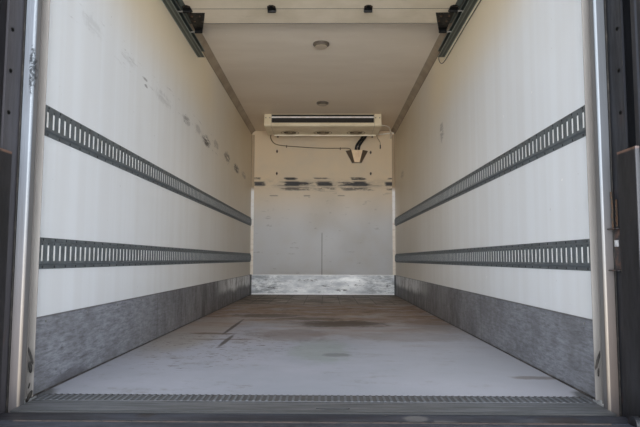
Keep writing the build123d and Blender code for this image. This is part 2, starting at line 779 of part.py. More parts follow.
# Door tracks: channels open to the middle, up the wall ends, round and along the walls.
# Each is a web against the wall and two flanges, which are shallow where they stand behind
# the posts; bands are measured out from the roller line
def track_band(plane, low, high):
    """Face of a band beside the roller line, from the foot of the track to its front end."""
    mid_turn = radians(45)
    with BuildSketch(plane) as band:
        with BuildLine():
            for offset in (low, high):
                radius = TRACK_R + offset
                bend_mid = (BEND_Y - radius * sin(mid_turn), BEND_Z + radius * cos(mid_turn))
                foot = (TRACK_LINE_Y - offset, FLOOR_Z + TRACK_FOOT)
                bend_start = (TRACK_LINE_Y - offset, BEND_Z)
                bend_end = (BEND_Y, TRACK_LINE_Z + offset)
                Line(foot, bend_start)
                ThreePointArc(bend_start, bend_mid, bend_end)
                Line(bend_end, (TRACK_END_Y, TRACK_LINE_Z + offset))
            Line((TRACK_END_Y, TRACK_LINE_Z + low), (TRACK_END_Y, TRACK_LINE_Z + high))
            foot_z = FLOOR_Z + TRACK_FOOT
            Line((TRACK_LINE_Y - low, foot_z), (TRACK_LINE_Y - high, foot_z))
        make_face()
    return band.sketch


flange_in = TRACK_H / 2 - TRACK_T
leg_top = TRACK_LINE_Z - TRACK_LEG_TOP
for side, sign in SIDES:
    wall_plane = side_plane(sign * HALF_IN)
    with BuildPart() as track:
        extrude(track_band(wall_plane, -TRACK_H / 2, TRACK_H / 2), amount=-sign * TRACK_T)
        extrude(track_band(wall_plane, -TRACK_H / 2, -flange_in), amount=-sign * TRACK_DEPTH)
        extrude(track_band(wall_plane, flange_in, TRACK_H / 2), amount=-sign * TRACK_DEPTH)
        with BuildSketch(side_plane(sign * (HALF_IN - TRACK_LEG_DEPTH))):
            with Locations((TRACK_LINE_Y, (FLOOR_Z + leg_top) / 2)):
                Rectangle(2 * TRACK_H, leg_top - FLOOR_Z)
        extrude(amount=-sign * TRACK_DEPTH, mode=Mode.SUBTRACT)
    pieces[f"{side}_door_track"] = track

# Door hinges at every seam: two in the middle, and one at each end that carries a roller.
# Each leaf lies on its section, its far corners cut off, and reaches round the pin
hinge_leaves = {}
for way in (-1, 1):
    with BuildPart() as hinge_leaf:
        with BuildSketch(Plane.XY):
            with BuildLine():
                Polyline(
                    (0, 0),
                    (way * LEAF_GAP, -ROLLER_DROP),
                    (way * LEAF_L, -ROLLER_DROP),
                    (way * LEAF_L, LEAF_T - ROLLER_DROP),
                    (way * 2 * BARREL_R, LEAF_T - ROLLER_DROP),
                    close=True,
                )
            make_face()
            RegularPolygon(BARREL_R, BARREL_SIDES)
        extrude(amount=HINGE_W)
        far_edges = hinge_leaf.edges().filter_by(Axis.Y).sort_by(Axis.X)
        chamfer(far_edges[-2:] if way > 0 else far_edges[:2], LEAF_CORNER)
    hinge_leaves[way] = hinge_leaf.part

END_HINGE_X = DOOR_W / 2 - END_HINGE_INSET
with BuildPart() as door_hinges:
    for before, after in zip(section_planes, section_planes[1:]):
        pin = after.origin + after.z_dir * ROLLER_DROP
        for hinge_x in (-END_HINGE_X, -HINGE_X, HINGE_X, END_HINGE_X):
            for section_plane, way in ((before, -1), (after, 1)):
                seat = Plane(pin + Vector(hinge_x - HINGE_W / 2, 0, 0),
                             x_dir=section_plane.y_dir, z_dir=(1, 0, 0))
                with Locations(seat.location):
                    add(hinge_leaves[way])
pieces["door_hinges"] = door_hinges

# Rollers in the tracks, on stems from the end hinges and from the brackets at both ends
top_pin = Vector(0, DOOR_LEAD_Y + TOP_ROLLER_REACH, TRACK_LINE_Z)
roller_pins = [top_pin]
roller_pins += [plane.origin + plane.z_dir * ROLLER_DROP for plane in section_planes[1:]]
ROLLER_R = flange_in - ROLLER_GAP
STEM_START = END_HINGE_X + HINGE_W / 2
STEM_L = HALF_IN - TRACK_T - RUN_GAP - STEM_START
with BuildPart() as door_rollers:
    for side, sign in SIDES:
        for pin in roller_pins:
            hub = Plane(pin + Vector(sign * STEM_START, 0, 0), x_dir=(0, 1, 0),
                        z_dir=(sign, 0, 0))
            with BuildSketch(hub):
                RegularPolygon(STEM_R, 6)
            extrude(amount=STEM_L)
            with BuildSketch(hub.offset(STEM_L - ROLLER_W)):
                Circle(ROLLER_R)
            extrude(amount=ROLLER_W)
pieces["door_rollers"] = door_rollers

# Top roller brackets: black pressed plates that reach ahead of the door's leading edge
ARM_START = STEM_START - TOP_ARM_W
with BuildPart() as top_brackets:
    for side, sign in SIDES:
        with BuildSketch(section_planes[0]):
            with BuildLine():
                Polyline(
                    (sign * (STEM_START - 2 * LEAF_T), TOP_PLATE_L),
                    (sign * (STEM_START - 2 * LEAF_T - TOP_PLATE_W), TOP_PLATE_L),
                    (sign * ARM_START, -TOP_ROLLER_REACH - BARREL_R),
                    (sign * STEM_START, -TOP_ROLLER_REACH - BARREL_R),
                    close=True,
                )
            make_face()
        extrude(amount=LEAF_T)
        with BuildSketch(Plane(top_pin + Vector(sign * ARM_START, 0, 0), x_dir=(0, 1, 0),
                               z_dir=(sign, 0, 0))):
            Circle(BARREL_R)
            with Locations((0, sign * ROLLER_DROP / 2)):
                Rectangle(2 * BARREL_R, ROLLER_DROP)
        extrude(amount=TOP_ARM_W)
pieces["top_brackets"] = top_brackets

# Counterbalance above the door: shaft, two springs, two cable drums, three hangers
SHAFT_Z = CEILING_Z - SHAFT_DROP
HANGER_H = SHAFT_DROP + HANGER_REACH
with BuildPart() as counterbalance:
    with BuildSketch(side_plane(-SHAFT_HALF)):
        with Locations((SHAFT_Y, SHAFT_Z)):
            Circle(SHAFT_R)
    extrude(amount=2 * SHAFT_HALF)
    for side, sign in SIDES:
        for start, length, radius in (
            (SPRING_START, SPRING_L, SPRING_R),
            (SHAFT_HALF - DRUM_R - HANGER_T, DRUM_W, DRUM_R),
        ):
            with BuildSketch(side_plane(sign * (start + length / 2))):
                with Locations((SHAFT_Y, SHAFT_Z)):
                    Circle(radius)
            extrude(amount=length / 2, both=True)
    for hanger_x in (-SHAFT_HALF, -HANGER_T / 2, SHAFT_HALF - HANGER_T):
        with BuildSketch(side_plane(hanger_x)):
            with Locations((SHAFT_Y, CEILING_Z - HANGER_H / 2)):
                Rectangle(HANGER_W, HANGER_H)
        extrude(amount=HANGER_T)
pieces["counterbalance"] = counterbalance


# Pipe cover on the bulkhead: folded sheet that narrows downwards and towards its face
COVER_TOP = CEILING_Z - COVER_DROP
COVER_LOW = COVER_TOP - COVER_H
COVER_FACE_Y = BULKHEAD_Y - COVER_DEPTH
top_half, low_half = (width / 2 for width in COVER_WIDTHS)
face_top_half, face_low_half = (width / 2 for width in COVER_FACE_WIDTHS)
with BuildPart() as pipe_cover:
    with BuildSketch(cross_plane(BULKHEAD_Y)):
        with BuildLine():
            Polyline(
                (COVER_X - top_half, COVER_TOP),
                (COVER_X + top_half, COVER_TOP),
                (COVER_X + low_half, COVER_LOW),
                (COVER_X - low_half, COVER_LOW),
                close=True,
            )
        make_face()
    extrude(amount=COVER_DEPTH)
    for side, sign in SIDES:
        wall_corner = Vector(COVER_X + sign * top_half, BULKHEAD_Y, COVER_TOP)
        face_corner = Vector(COVER_X + sign * face_top_half, COVER_FACE_Y, COVER_TOP)
        face_foot = Vector(COVER_X + sign * face_low_half, COVER_FACE_Y, COVER_LOW)
        outward = (face_corner - wall_corner).cross(face_foot - face_corner) * sign
        split(bisect_by=Plane(wall_corner, z_dir=outward), keep=Keep.BOTTOM)
pieces["pipe_cover"] = pipe_cover


def tube(points, diameter):
    """Plain many-sided tube along the points, mitred at each."""
    with BuildPart() as straight_tube:
        with BuildLine() as route:
            Polyline(*points)
        with BuildSketch(Plane(points[0], z_dir=points[1] - points[0])):
            RegularPolygon(diameter / 2, TUBE_SIDES)
        sweep(path=route.wire(), transition=Transition.RIGHT)
    return straight_tube.part


def route_points(route, shift=0):
    """Points from rows of x, y and drop below the ceiling, moved sideways by the shift."""
    return [Vector(x + shift, y, CEILING_Z - drop) for x, y, drop in route]


# Insulated refrigerant hoses from the evaporator's back down into the pipe cover
HOSE_X = EVAP_W / 2 - HOSE_INSET
HOSE_END_X = COVER_X + HOSE_SHIFT
HOSE_ROUTE = (
    (HOSE_X, EVAP_REAR_Y, 90), (HOSE_X, 2880, 90), (HOSE_X - 18, 2985, 100),
    (HOSE_X - 62, 3085, 126), (HOSE_X - 105, 3150, 165), (HOSE_END_X, 3185, 215),
    (HOSE_END_X, 3185, COVER_DROP),
)
with BuildPart() as refrigerant_hoses:
    for shift in (0, -HOSE_PITCH):
        add(tube(route_points(HOSE_ROUTE, shift), HOSE_D))
pieces["refrigerant_hoses"] = refrigerant_hoses

# Thin drain pipe: out of the evaporator's left end, round, and clipped along the bulkhead
DRAIN_X = DRAIN_INSET - EVAP_W / 2
DRAIN_END_X = COVER_X - DRAIN_SHIFT
DRAIN_ROUTE = (
    (DRAIN_X, EVAP_REAR_Y, 90), (DRAIN_X, 2820, 90), (DRAIN_X - 60, 2900, 87),
    (DRAIN_X - 135, 2980, 92), (DRAIN_X - 185, 3070, 115), (DRAIN_X - 170, 3150, 160),
    (DRAIN_X - 110, 3200, 203), (DRAIN_X, 3218, 226), (-360, 3222, 252), (-60, 3222, 270),
    (200, 3222, 272), (340, 3220, 268), (400, 3210, 275), (DRAIN_END_X, 3205, 290),
    (DRAIN_END_X, 3205, COVER_DROP),
)
with BuildPart() as drain_pipe:
    add(tube(route_points(DRAIN_ROUTE), DRAIN_D))
pieces["drain_pipe"] = drain_pipe

# White conduit from the evaporator's right end to the bulkhead's corner
CONDUIT_ROUTE = (
    (EVAP_W / 2, 2640, 55), (EVAP_W / 2 + 75, 2640, 55), (EVAP_W / 2 + 125, 2670, 55),
    (EVAP_W / 2 + 175, 2760, 58), (EVAP_W / 2 + 210, 2960, 80), (1030, 3080, 103),
    (1035, 3140, 110), (1035, BULKHEAD_Y, 110),
)
with BuildPart() as conduit:
    add(tube(route_points(CONDUIT_ROUTE), CONDUIT_D))
pieces["conduit"] = conduit

# Rear lamps: two clusters in the sill's face below the deck, two markers in the header
with BuildPart() as rear_lamps:
    for side, sign in SIDES:
        with BuildSketch(cross_plane(POST_REAR_Y)):
            with Locations((sign * LAMP_X, RAIL_H + LAMP_RISE)):
                RectangleRounded(LAMP_W, LAMP_H, LAMP_H / 4)
            with Locations((sign * LAMP_X, ROOF_Z - MARKER_DROP)):
                SlotOverall(MARKER_W, MARKER_H)
        extrude(amount=LAMP_T)
pieces["rear_lamps"] = rear_lamps

# Tail lift columns: channels on the posts' rear faces, slotted towards the middle and
# capped at the top
COLUMN_FRONT_Y = POST_REAR_Y
COLUMN_MID_Y = COLUMN_FRONT_Y - COLUMN_DEPTH / 2
COLUMN_OUT_X = COLUMN_X + COLUMN_W
COLUMN_MID_X = COLUMN_X + COLUMN_W / 2
COLUMN_TOP_Z = CEILING_Z - COLUMN_DROP
SLOT_Y = COLUMN_FRONT_Y - COLUMN_LIP - COLUMN_SLOT / 2
for side, sign in SIDES:
    with BuildPart() as column:
        with BuildSketch(Plane.XY.offset(FLOOR_Z + COLUMN_LOW)):
            with Locations((sign * COLUMN_MID_X, COLUMN_MID_Y)):
                Rectangle(COLUMN_W, COLUMN_DEPTH)
                Rectangle(COLUMN_W - 2 * COLUMN_WALL, COLUMN_DEPTH - 2 * COLUMN_WALL,
                          mode=Mode.SUBTRACT)
            with Locations((sign * COLUMN_X, SLOT_Y)):
                Rectangle(2 * COLUMN_WALL, COLUMN_SLOT, mode=Mode.SUBTRACT)
        extrude(amount=COLUMN_TOP_Z - FLOOR_Z - COLUMN_LOW)
        with BuildSketch(Plane.XY.offset(COLUMN_TOP_Z)):
            with Locations((sign * COLUMN_MID_X, COLUMN_MID_Y)):
                Rectangle(COLUMN_W, COLUMN_DEPTH)
        extrude(amount=CAP_T)
    pieces[f"lift_{side}_column"] = column

# Lift runners: a plate over each column's slot, with a sliding shoe behind the lips
RUNNER_OUT_X = COLUMN_X - RUN_GAP
RUNNER_IN_X = RUNNER_OUT_X - RUNNER_T
SHOE_IN_X = COLUMN_X + COLUMN_WALL + RUN_GAP
SHOE_OUT_X = COLUMN_OUT_X - COLUMN_WALL - RUN_GAP
HINGE_Y = SLOT_Y + HINGE_SETBACK
BEAM_LOW = BEAM_TOP - BEAM_H
HOLLOW_W = COLUMN_W - 2 * COLUMN_WALL
HOLLOW_DEPTH = COLUMN_DEPTH - 2 * COLUMN_WALL
for side, sign in SIDES:
    with BuildPart() as runner:
        with BuildSketch(Plane.XY.offset(FLOOR_Z + BEAM_LOW)):
            with Locations((sign * (RUNNER_IN_X + RUNNER_T / 2), SLOT_Y)):
                Rectangle(RUNNER_T, COLUMN_SLOT + 2 * RUNNER_LAP)
        extrude(amount=RUNNER_TOP - BEAM_LOW)
        with BuildSketch(Plane.XY.offset(FLOOR_Z + RUNNER_TOP - SHOE_L)):
            with Locations((sign * (RUNNER_OUT_X + SHOE_IN_X) / 2, SLOT_Y)):
                Rectangle(SHOE_IN_X - RUNNER_OUT_X, COLUMN_SLOT - 2 * RUN_GAP)
            with Locations((sign * (SHOE_IN_X + SHOE_OUT_X) / 2, COLUMN_MID_Y)):
                Rectangle(SHOE_OUT_X - SHOE_IN_X, HOLLOW_DEPTH - 2 * RUN_GAP)
        extrude(amount=SHOE_L)
        for pad_z in (RUNNER_TOP - SHOE_L, RUNNER_TOP - PAD_L):
            with BuildSketch(Plane.XY.offset(FLOOR_Z + pad_z)):
                with Locations((sign * COLUMN_MID_X, COLUMN_MID_Y)):
                    Rectangle(HOLLOW_W - 2 * PAD_GAP, HOLLOW_DEPTH - 2 * PAD_GAP)
            extrude(amount=PAD_L)
        with BuildSketch(side_plane(sign * RUNNER_IN_X)):
            with Locations((HINGE_Y, FLOOR_Z + BEAM_TOP)):
                Circle(PIN_R)
        extrude(amount=-sign * (EAR_T + RUN_GAP))
    pieces[f"lift_{side}_runner"] = runner

# Latch bracket in the corner of the right post and column: a back plate and two shelves
LATCH_H = LATCH_TOP - LATCH_LOW
with BuildPart() as latch_bracket:
    with BuildSketch(side_plane(COLUMN_X)):
        with Locations((COLUMN_FRONT_Y - LATCH_L / 2, FLOOR_Z + LATCH_LOW + LATCH_H / 2)):
            Rectangle(LATCH_L, LATCH_H)
    extrude(amount=-LATCH_T)
    for shelf_z in (LATCH_LOW, LATCH_TOP - LATCH_T):
        with BuildSketch(Plane.XY.offset(FLOOR_Z + shelf_z)):
            with Locations((COLUMN_X - LATCH_REACH / 2, COLUMN_FRONT_Y - LATCH_L / 2)):
                Rectangle(LATCH_REACH, LATCH_L)
        extrude(amount=LATCH_T)
pieces["latch_bracket"] = latch_bracket

# Cross beam between the runners; its top is level with the platform's deck
EAR_OUT_X = RUNNER_IN_X - RUN_GAP
EAR_IN_X = EAR_OUT_X - EAR_T
BEAM_FRONT_Y = REAR_Y - RUN_GAP
BEAM_REAR_Y = HINGE_Y + RUN_GAP
with BuildPart() as lift_beam:
    with BuildSketch(side_plane(-RUNNER_IN_X)):
        with BuildLine():
            Polyline(
                (BEAM_FRONT_Y, FLOOR_Z + BEAM_TOP),
                (BEAM_REAR_Y, FLOOR_Z + BEAM_TOP),
                (BEAM_REAR_Y, FLOOR_Z + BEAM_LOW),
                (BEAM_FRONT_Y - BEAM_CHAMFER, FLOOR_Z + BEAM_LOW),
                (BEAM_FRONT_Y, FLOOR_Z + BEAM_LOW + BEAM_CHAMFER),
                close=True,
            )
        make_face()
    extrude(amount=2 * RUNNER_IN_X)
    for side, sign in SIDES:
        with BuildSketch(side_plane(sign * (EAR_IN_X - RUN_GAP))):
            with Locations((HINGE_Y, FLOOR_Z + BEAM_TOP)):
                Rectangle(2 * (EAR_R + RUN_GAP), 2 * (EAR_R + RUN_GAP))
        extrude(amount=sign * (EAR_T + 2 * RUN_GAP), mode=Mode.SUBTRACT)
pieces["lift_beam"] = lift_beam

# Platform: hollow deck that tapers to its tip, hung on the runners' pins by two ears
PLATFORM_START_Y = HINGE_Y - RUN_GAP
with BuildPart() as platform:
    with BuildSketch(side_plane(-EAR_OUT_X)):
        with BuildLine():
            Polyline(
                (PLATFORM_START_Y, FLOOR_Z + BEAM_TOP),
                (PLATFORM_START_Y, FLOOR_Z + BEAM_TOP - PLATFORM_T),
                (PLATFORM_START_Y - PLATFORM_L * PLATFORM_FLAT, FLOOR_Z + BEAM_TOP - PLATFORM_T),
                (PLATFORM_START_Y - PLATFORM_L, FLOOR_Z + BEAM_TOP - PLATFORM_TIP_T),
                (PLATFORM_START_Y - PLATFORM_L, FLOOR_Z + BEAM_TOP),
                close=True,
            )
        make_face()
    extrude(amount=2 * EAR_OUT_X)
    for side, sign in SIDES:
        with BuildSketch(side_plane(sign * EAR_OUT_X)):
            with Locations((HINGE_Y, FLOOR_Z + BEAM_TOP)):
                Circle(EAR_R)
            with Locations((HINGE_Y - EAR_R, FLOOR_Z + BEAM_TOP - EAR_R / 2)):
                Rectangle(2 * EAR_R, EAR_R)
        extrude(amount=-sign * EAR_T)
        with BuildSketch(side_plane(sign * (EAR_OUT_X + CUT_OVER))):
            with Locations((HINGE_Y, FLOOR_Z + BEAM_TOP)):
                Circle(PIN_R + PIN_GAP)
        extrude(amount=-sign * (EAR_T + RUN_GAP + CUT_OVER), mode=Mode.SUBTRACT)
pieces["platform"] = platform

for name, piece in pieces.items():
    piece.part.label = name
os.makedirs("parts", exist_ok=True)
for name, piece in pieces.items():
    export_step(piece.part, f"parts/{name}.step")
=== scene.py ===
import bmesh
import bpy
import math
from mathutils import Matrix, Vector


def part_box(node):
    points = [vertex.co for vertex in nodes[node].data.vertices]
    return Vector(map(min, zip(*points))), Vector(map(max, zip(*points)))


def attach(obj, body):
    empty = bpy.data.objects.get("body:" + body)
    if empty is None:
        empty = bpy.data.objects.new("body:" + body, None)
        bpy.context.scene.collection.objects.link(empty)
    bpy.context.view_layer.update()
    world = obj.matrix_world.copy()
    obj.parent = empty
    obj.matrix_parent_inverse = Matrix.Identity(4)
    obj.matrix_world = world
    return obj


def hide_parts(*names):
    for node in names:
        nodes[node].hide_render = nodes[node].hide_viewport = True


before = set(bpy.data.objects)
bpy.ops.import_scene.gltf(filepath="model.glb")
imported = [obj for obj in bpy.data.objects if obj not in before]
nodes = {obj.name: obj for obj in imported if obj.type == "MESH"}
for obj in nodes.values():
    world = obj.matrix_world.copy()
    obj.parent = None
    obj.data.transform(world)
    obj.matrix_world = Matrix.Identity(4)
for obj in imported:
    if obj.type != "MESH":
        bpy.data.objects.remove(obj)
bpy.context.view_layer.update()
bpy.ops.object.select_all(action="DESELECT")

# Camera: it stands behind the open doorway, a little below the middle, and looks in.
# Its place and lens come from the vanishing point and the doorway of the photograph.
floor_low, floor_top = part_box("floor_panel")
FLOOR_Z = floor_top.z
CAMERA_PLACE = (0.050, -5.356, FLOOR_Z + 0.539)
CAMERA_PITCH = 4.63
CAMERA_YAW = 0.62
CAMERA_ROLL = -0.18
FOCAL_PIXELS = 565.5
IMAGE_W = 640
SENSOR = 36.0
camera_data = bpy.data.cameras.new("camera")
camera_data.sensor_width = SENSOR
camera_data.lens = FOCAL_PIXELS / IMAGE_W * SENSOR
camera_data.clip_end = 200
camera = bpy.data.objects.new("camera", camera_data)
bpy.context.scene.collection.objects.link(camera)
camera.location = CAMERA_PLACE
camera.rotation_mode = "XYZ"
camera.rotation_euler = (math.radians(90 + CAMERA_PITCH), math.radians(CAMERA_ROLL),
                         math.radians(CAMERA_YAW))
bpy.context.scene.camera = camera
bpy.context.scene.view_settings.view_transform = "Standard"

# Ground: a plain pale floor, as far below the deck as a truck's tyres would carry it, and
# broad enough to lie behind the body in every view
GROUND_DROP = 1.05
GROUND_SIZE = 60
bpy.ops.mesh.primitive_plane_add(size=GROUND_SIZE, location=(0, 0, FLOOR_Z - GROUND_DROP))
ground = bpy.context.object
ground.name = "ground"


def linear(*colour):
    """Colour given as 0 to 255 screen values, as the shader wants it."""
    channels = [value / 255 for value in colour]
    return tuple(c / 12.92 if c <= 0.04045 else ((c + 0.055) / 1.055) ** 2.4 for c in channels)


def new_material(name, colour, roughness, metallic=0.0):
    """Starts a principled material with these plain values; the next helpers add to its tree."""
    global tree
    made = bpy.data.materials.new(name)
    made.use_nodes = True
    tree = made.node_tree
    shader = tree.nodes["Principled BSDF"]
    shader.inputs["Base Color"].default_value = (*linear(*colour), 1)
    shader.inputs["Roughness"].default_value = roughness
    shader.inputs["Metallic"].default_value = metallic
    return made


def object_place(scale=(1, 1, 1), location=(0, 0, 0)):
    """Object coordinates, scaled and then moved."""
    coords = tree.nodes.new("ShaderNodeTexCoord")
    mapping = tree.nodes.new("ShaderNodeMapping")
    mapping.inputs["Scale"].default_value = scale
    mapping.inputs["Location"].default_value = location
    tree.links.new(coords.outputs["Object"], mapping.inputs["Vector"])
    return mapping.outputs["Vector"]


def noise(scale, detail=4.0, rough=0.6, stretch=(1, 1, 1)):
    """Noise value, 0 to 1, with so many waves to the metre, more of them where stretched."""
    node = tree.nodes.new("ShaderNodeTexNoise")
    for socket, number in (("Scale", scale), ("Detail", detail), ("Roughness", rough)):
        node.inputs[socket].default_value = number
    tree.links.new(object_place(stretch), node.inputs["Vector"])
    return node.outputs["Fac"]


def span(value, low, high, to_low=0.0, to_high=1.0):
    """The value's stretch from low to high, spread smoothly over to_low to to_high."""
    node = tree.nodes.new("ShaderNodeMapRange")
    node.interpolation_type = "SMOOTHSTEP"
    for socket, number in (("From Min", low), ("From Max", high), ("To Min", to_low),
                           ("To Max", to_high)):
        node.inputs[socket].default_value = number
    tree.links.new(value, node.inputs["Value"])
    return node.outputs["Result"]


def combine(how, first, second):
    """Math node of two values, each a socket or a number."""
    node = tree.nodes.new("ShaderNodeMath")
    node.operation = how
    for socket, value in zip(node.inputs, (first, second)):
        if isinstance(value, (int, float)):
            socket.default_value = value
        else:
            tree.links.new(value, socket)
    return node.outputs["Value"]


def both(*masks):
    """The masks multiplied together; each is a socket or a number."""
    result = masks[0]
    for mask in masks[1:]:
        result = combine("MULTIPLY", result, mask)
    return result


def tint(mask, under, over, strength=1):
    """Colour under, covered by colour over where the mask is 1; each a socket or 0 to 255."""
    node = tree.nodes.new("ShaderNodeMix")
    node.data_type = "RGBA"
    tree.links.new(mask if strength == 1 else both(mask, strength), node.inputs["Factor"])
    for socket, colour in ((node.inputs[6], under), (node.inputs[7], over)):
        if isinstance(colour, tuple):
            socket.default_value = (*linear(*colour), 1)
        else:
            tree.links.new(colour, socket)
    return node.outputs[2]


def finish_material(made, colour, gloss=None, height=None, depth=0.001, strength=0.5):
    """Links the colour, a roughness given as source, low, high, and a height in metres."""
    inputs = tree.nodes["Principled BSDF"].inputs
    tree.links.new(colour, inputs["Base Color"])
    if gloss:
        source, low, high = gloss
        tree.links.new(span(source, 0.3, 0.7, low, high), inputs["Roughness"])
    if height:
        bump = tree.nodes.new("ShaderNodeBump")
        bump.inputs["Strength"].default_value = strength
        bump.inputs["Distance"].default_value = depth
        tree.links.new(height, bump.inputs["Height"])
        tree.links.new(bump.outputs["Normal"], inputs["Normal"])
    return made


ground_material = new_material("pale_ground", (222, 222, 220), 0.9)
mottle = span(noise(0.6, 3), 0.35, 0.65)
finish_material(ground_material, tint(mottle, (216, 216, 214), (224, 224, 222)))
ground.data.materials.append(ground_material)

# Light: a broad soft sky behind the open doorway with the glow of the ground below it, two
# soft lamps for the outside, and a pale world
world = bpy.data.worlds.new("pale_world")
world.use_nodes = True
bpy.context.scene.world = world
background = world.node_tree.nodes["Background"]
background.inputs["Color"].default_value = (0.93, 0.96, 1.0, 1)
background.inputs["Strength"].default_value = 0.6


def area_light(name, place, aim, size, power, colour):
    """Soft light of that width and height at a place, turned to its aim."""
    data = bpy.data.lights.new(name, "AREA")
    data.shape = "RECTANGLE"
    data.size, data.size_y = size
    data.energy = power
    data.color = colour
    lamp = bpy.data.objects.new(name, data)
    bpy.context.scene.collection.objects.link(lamp)
    lamp.location = place
    lamp.rotation_euler = (Vector(aim) - Vector(place)).to_track_quat("-Z", "Y").to_euler()


area_light("door_sky", (0.0, -9.0, 1.9), (0, 0, 1.5), (11.0, 5.4), 1000, (0.94, 0.97, 1.0))
area_light("ground_bounce", (0.0, -11.5, -0.3), (0, 0, 1.9), (9.0, 1.0), 420, (1.0, 0.97, 0.92))
area_light("left_key", (-9.0, 1.5, 8.0), (0, 0, 1.0), (6.0, 6.0), 240, (1.0, 0.98, 0.95))
area_light("front_fill", (7.0, 10.0, 7.0), (0, 0, 1.0), (6.0, 6.0), 240, (0.95, 0.97, 1.0))

# Side walls: insulated panels with a smooth glass-fibre skin, off-white inside and out.
# The inner skin has faint upright bands, tiny nicks, and scuffs from tall loads along one
# line; deep inside it is yellower, partly aged skin and partly painted warm bounced light
WALL_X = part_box("right_wall")[0].x
BULKHEAD_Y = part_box("bulkhead")[0].y
CEILING_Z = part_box("roof_panel")[0].z
# side, y, height above the floor, half-length, half-height, strength
WALL_SCUFFS = (
    (-1, -2.66, 1.680, 0.14, 0.050, 0.12), (-1, -2.15, 1.695, 0.14, 0.035, 0.12),
    (-1, -1.86, 1.673, 0.050, 0.014, 0.55), (-1, -1.85, 1.636, 0.045, 0.013, 0.6),
    (-1, -1.45, 1.665, 0.22, 0.05, 0.20), (-1, -0.80, 1.677, 0.15, 0.045, 0.55),
    (-1, -0.38, 1.700, 0.15, 0.045, 0.30), (-1, -0.02, 1.665, 0.20, 0.062, 1.0),
    (-1, 0.46, 1.730, 0.17, 0.050, 0.40), (-1, 1.12, 1.715, 0.22, 0.065, 0.80),
    (-1, 1.80, 1.690, 0.26, 0.060, 1.0), (-1, 2.45, 1.700, 0.24, 0.050, 0.50),
    (1, -0.27, 1.700, 0.10, 0.110, 0.45), (1, 2.40, 1.710, 0.20, 0.060, 0.30),
)
SKIN_DEPTH = 0.03
SKIN_FADE = 0.01


def along(axis):
    """The X, Y or Z of the object coordinates."""
    coords = tree.nodes.new("ShaderNodeTexCoord")
    split = tree.nodes.new("ShaderNodeSeparateXYZ")
    tree.links.new(coords.outputs["Object"], split.inputs["Vector"])
    return split.outputs[axis]


def ramp(axis, low, high, to_low=0.0, to_high=1.0):
    """Rises smoothly from to_low at low to to_high at high along the axis."""
    return span(along(axis), low, high, to_low, to_high)


def distance(axis, place=0):
    """How far it is along the axis from that place, either way."""
    return combine("ABSOLUTE", combine("SUBTRACT", along(axis), place), 0)


def near(axis, place, inner, outer):
    """1 within inner of that place along the axis, fading to 0 at outer."""
    return span(distance(axis, place), inner, outer, 1, 0)


def blot(centre, size, ragged=0.6, grain=9.0):
    """Ragged patch about a centre: 1 in the middle, 0 beyond its half-sizes."""
    length = tree.nodes.new("ShaderNodeVectorMath")
    length.operation = "LENGTH"
    spread = object_place([1 / s for s in size], [-c / s for c, s in zip(centre, size)])
    tree.links.new(spread, length.inputs[0])
    wobble = combine("SUBTRACT", noise(grain, 5, 0.7), 0.5)
    return span(combine("ADD", length.outputs["Value"], both(wobble, 2 * ragged)), 0.5, 1.0, 1, 0)


def outer_skin(value, inner_face):
    """1 from that face of a panel outwards, past the skin that faces the load."""
    edge = inner_face + SKIN_DEPTH
    return span(value, edge, edge + SKIN_FADE)


def rain_runs():
    """Upright runs of dirt that rain leaves on the outer skins."""
    return span(noise(1.8, 6, 0.7, (9, 9, 0.25)), 0.52, 0.70)


def cover(mask, over, strength=1):
    """Covers the colour in hand by colour over where the mask is 1."""
    global colour
    colour = tint(mask, colour, over, strength)


def dress(names, made):
    """Gives CAD nodes this material in place of their plain one."""
    for name in names:
        slots = nodes[name].data.materials
        slots.clear()
        slots.append(made)


walls = new_material("wall_skin", (230, 232, 235), 0.42)
bands = noise(1.6, 3, 0.6, (5, 5, 0.12))
cloud = noise(0.9, 4)
colour = tint(span(bands, 0.36, 0.66), (231, 236, 242), (226, 230, 235))
cover(span(cloud, 0.45, 0.75), (218, 219, 220), 0.4)
# Yellower deep inside and up high: partly aged skin, partly painted warm bounced light
yellowing_and_bounce_light = both(ramp("Y", -3.0, 2.4), ramp("Z", FLOOR_Z + 0.7, FLOOR_Z + 2.2, 0.62, 1))
cover(yellowing_and_bounce_light, (224, 209, 182))
# A warm tone high up on the walls near the door's front edge
crown = both(ramp("Z", FLOOR_Z + 1.65, FLOOR_Z + 2.25), near("Y", -1.1, 0.9, 1.9))
cover(crown, (240, 222, 188), 0.85)
streaks = span(noise(4, 7, 0.8, (1, 1, 9)), 0.40, 0.50)
for side, y, rise, half_l, half_h, strength in WALL_SCUFFS:
    patch = blot((side * WALL_X, y, FLOOR_Z + rise), (0.3, half_l, half_h), 1.1, 20)
    cover(both(patch, streaks), (52, 50, 52), strength)
hairs = span(noise(3, 6, 0.75, (1, 1, 14)), 0.60, 0.68)
left_side = ramp("X", 0, 0.1, 1, 0)
cover(both(hairs, near("Z", FLOOR_Z + 1.70, 0.06, 0.12), left_side), (112, 108, 104), 0.6)
nicks = span(noise(30, 1), 0.78, 0.81)
cover(nicks, (252, 252, 252))
dots = span(noise(45, 1, 0.5, (1, 1, 0.9)), 0.2, 0.17)
cover(dots, (150, 148, 146), 0.5)
washed = tint(span(bands, 0.3, 0.7), (216, 217, 217), (208, 209, 208))
rain = both(rain_runs(), ramp("Z", FLOOR_Z + 2.2, FLOOR_Z + 0.2, 0.15, 0.45))
washed = tint(rain, washed, (184, 181, 174))
cover(outer_skin(distance("X"), WALL_X), washed)
finish_material(walls, colour, (cloud, 0.34, 0.5), noise(9, 2), 0.002, 0.12)
dress(["left_wall", "right_wall"], walls)

# Bulkhead: the same panel across the front, cream above and greyer below, with one joint up
# its lower half and black rubber scuffs where boxes have rubbed
SCUFF_RISE = 1.69
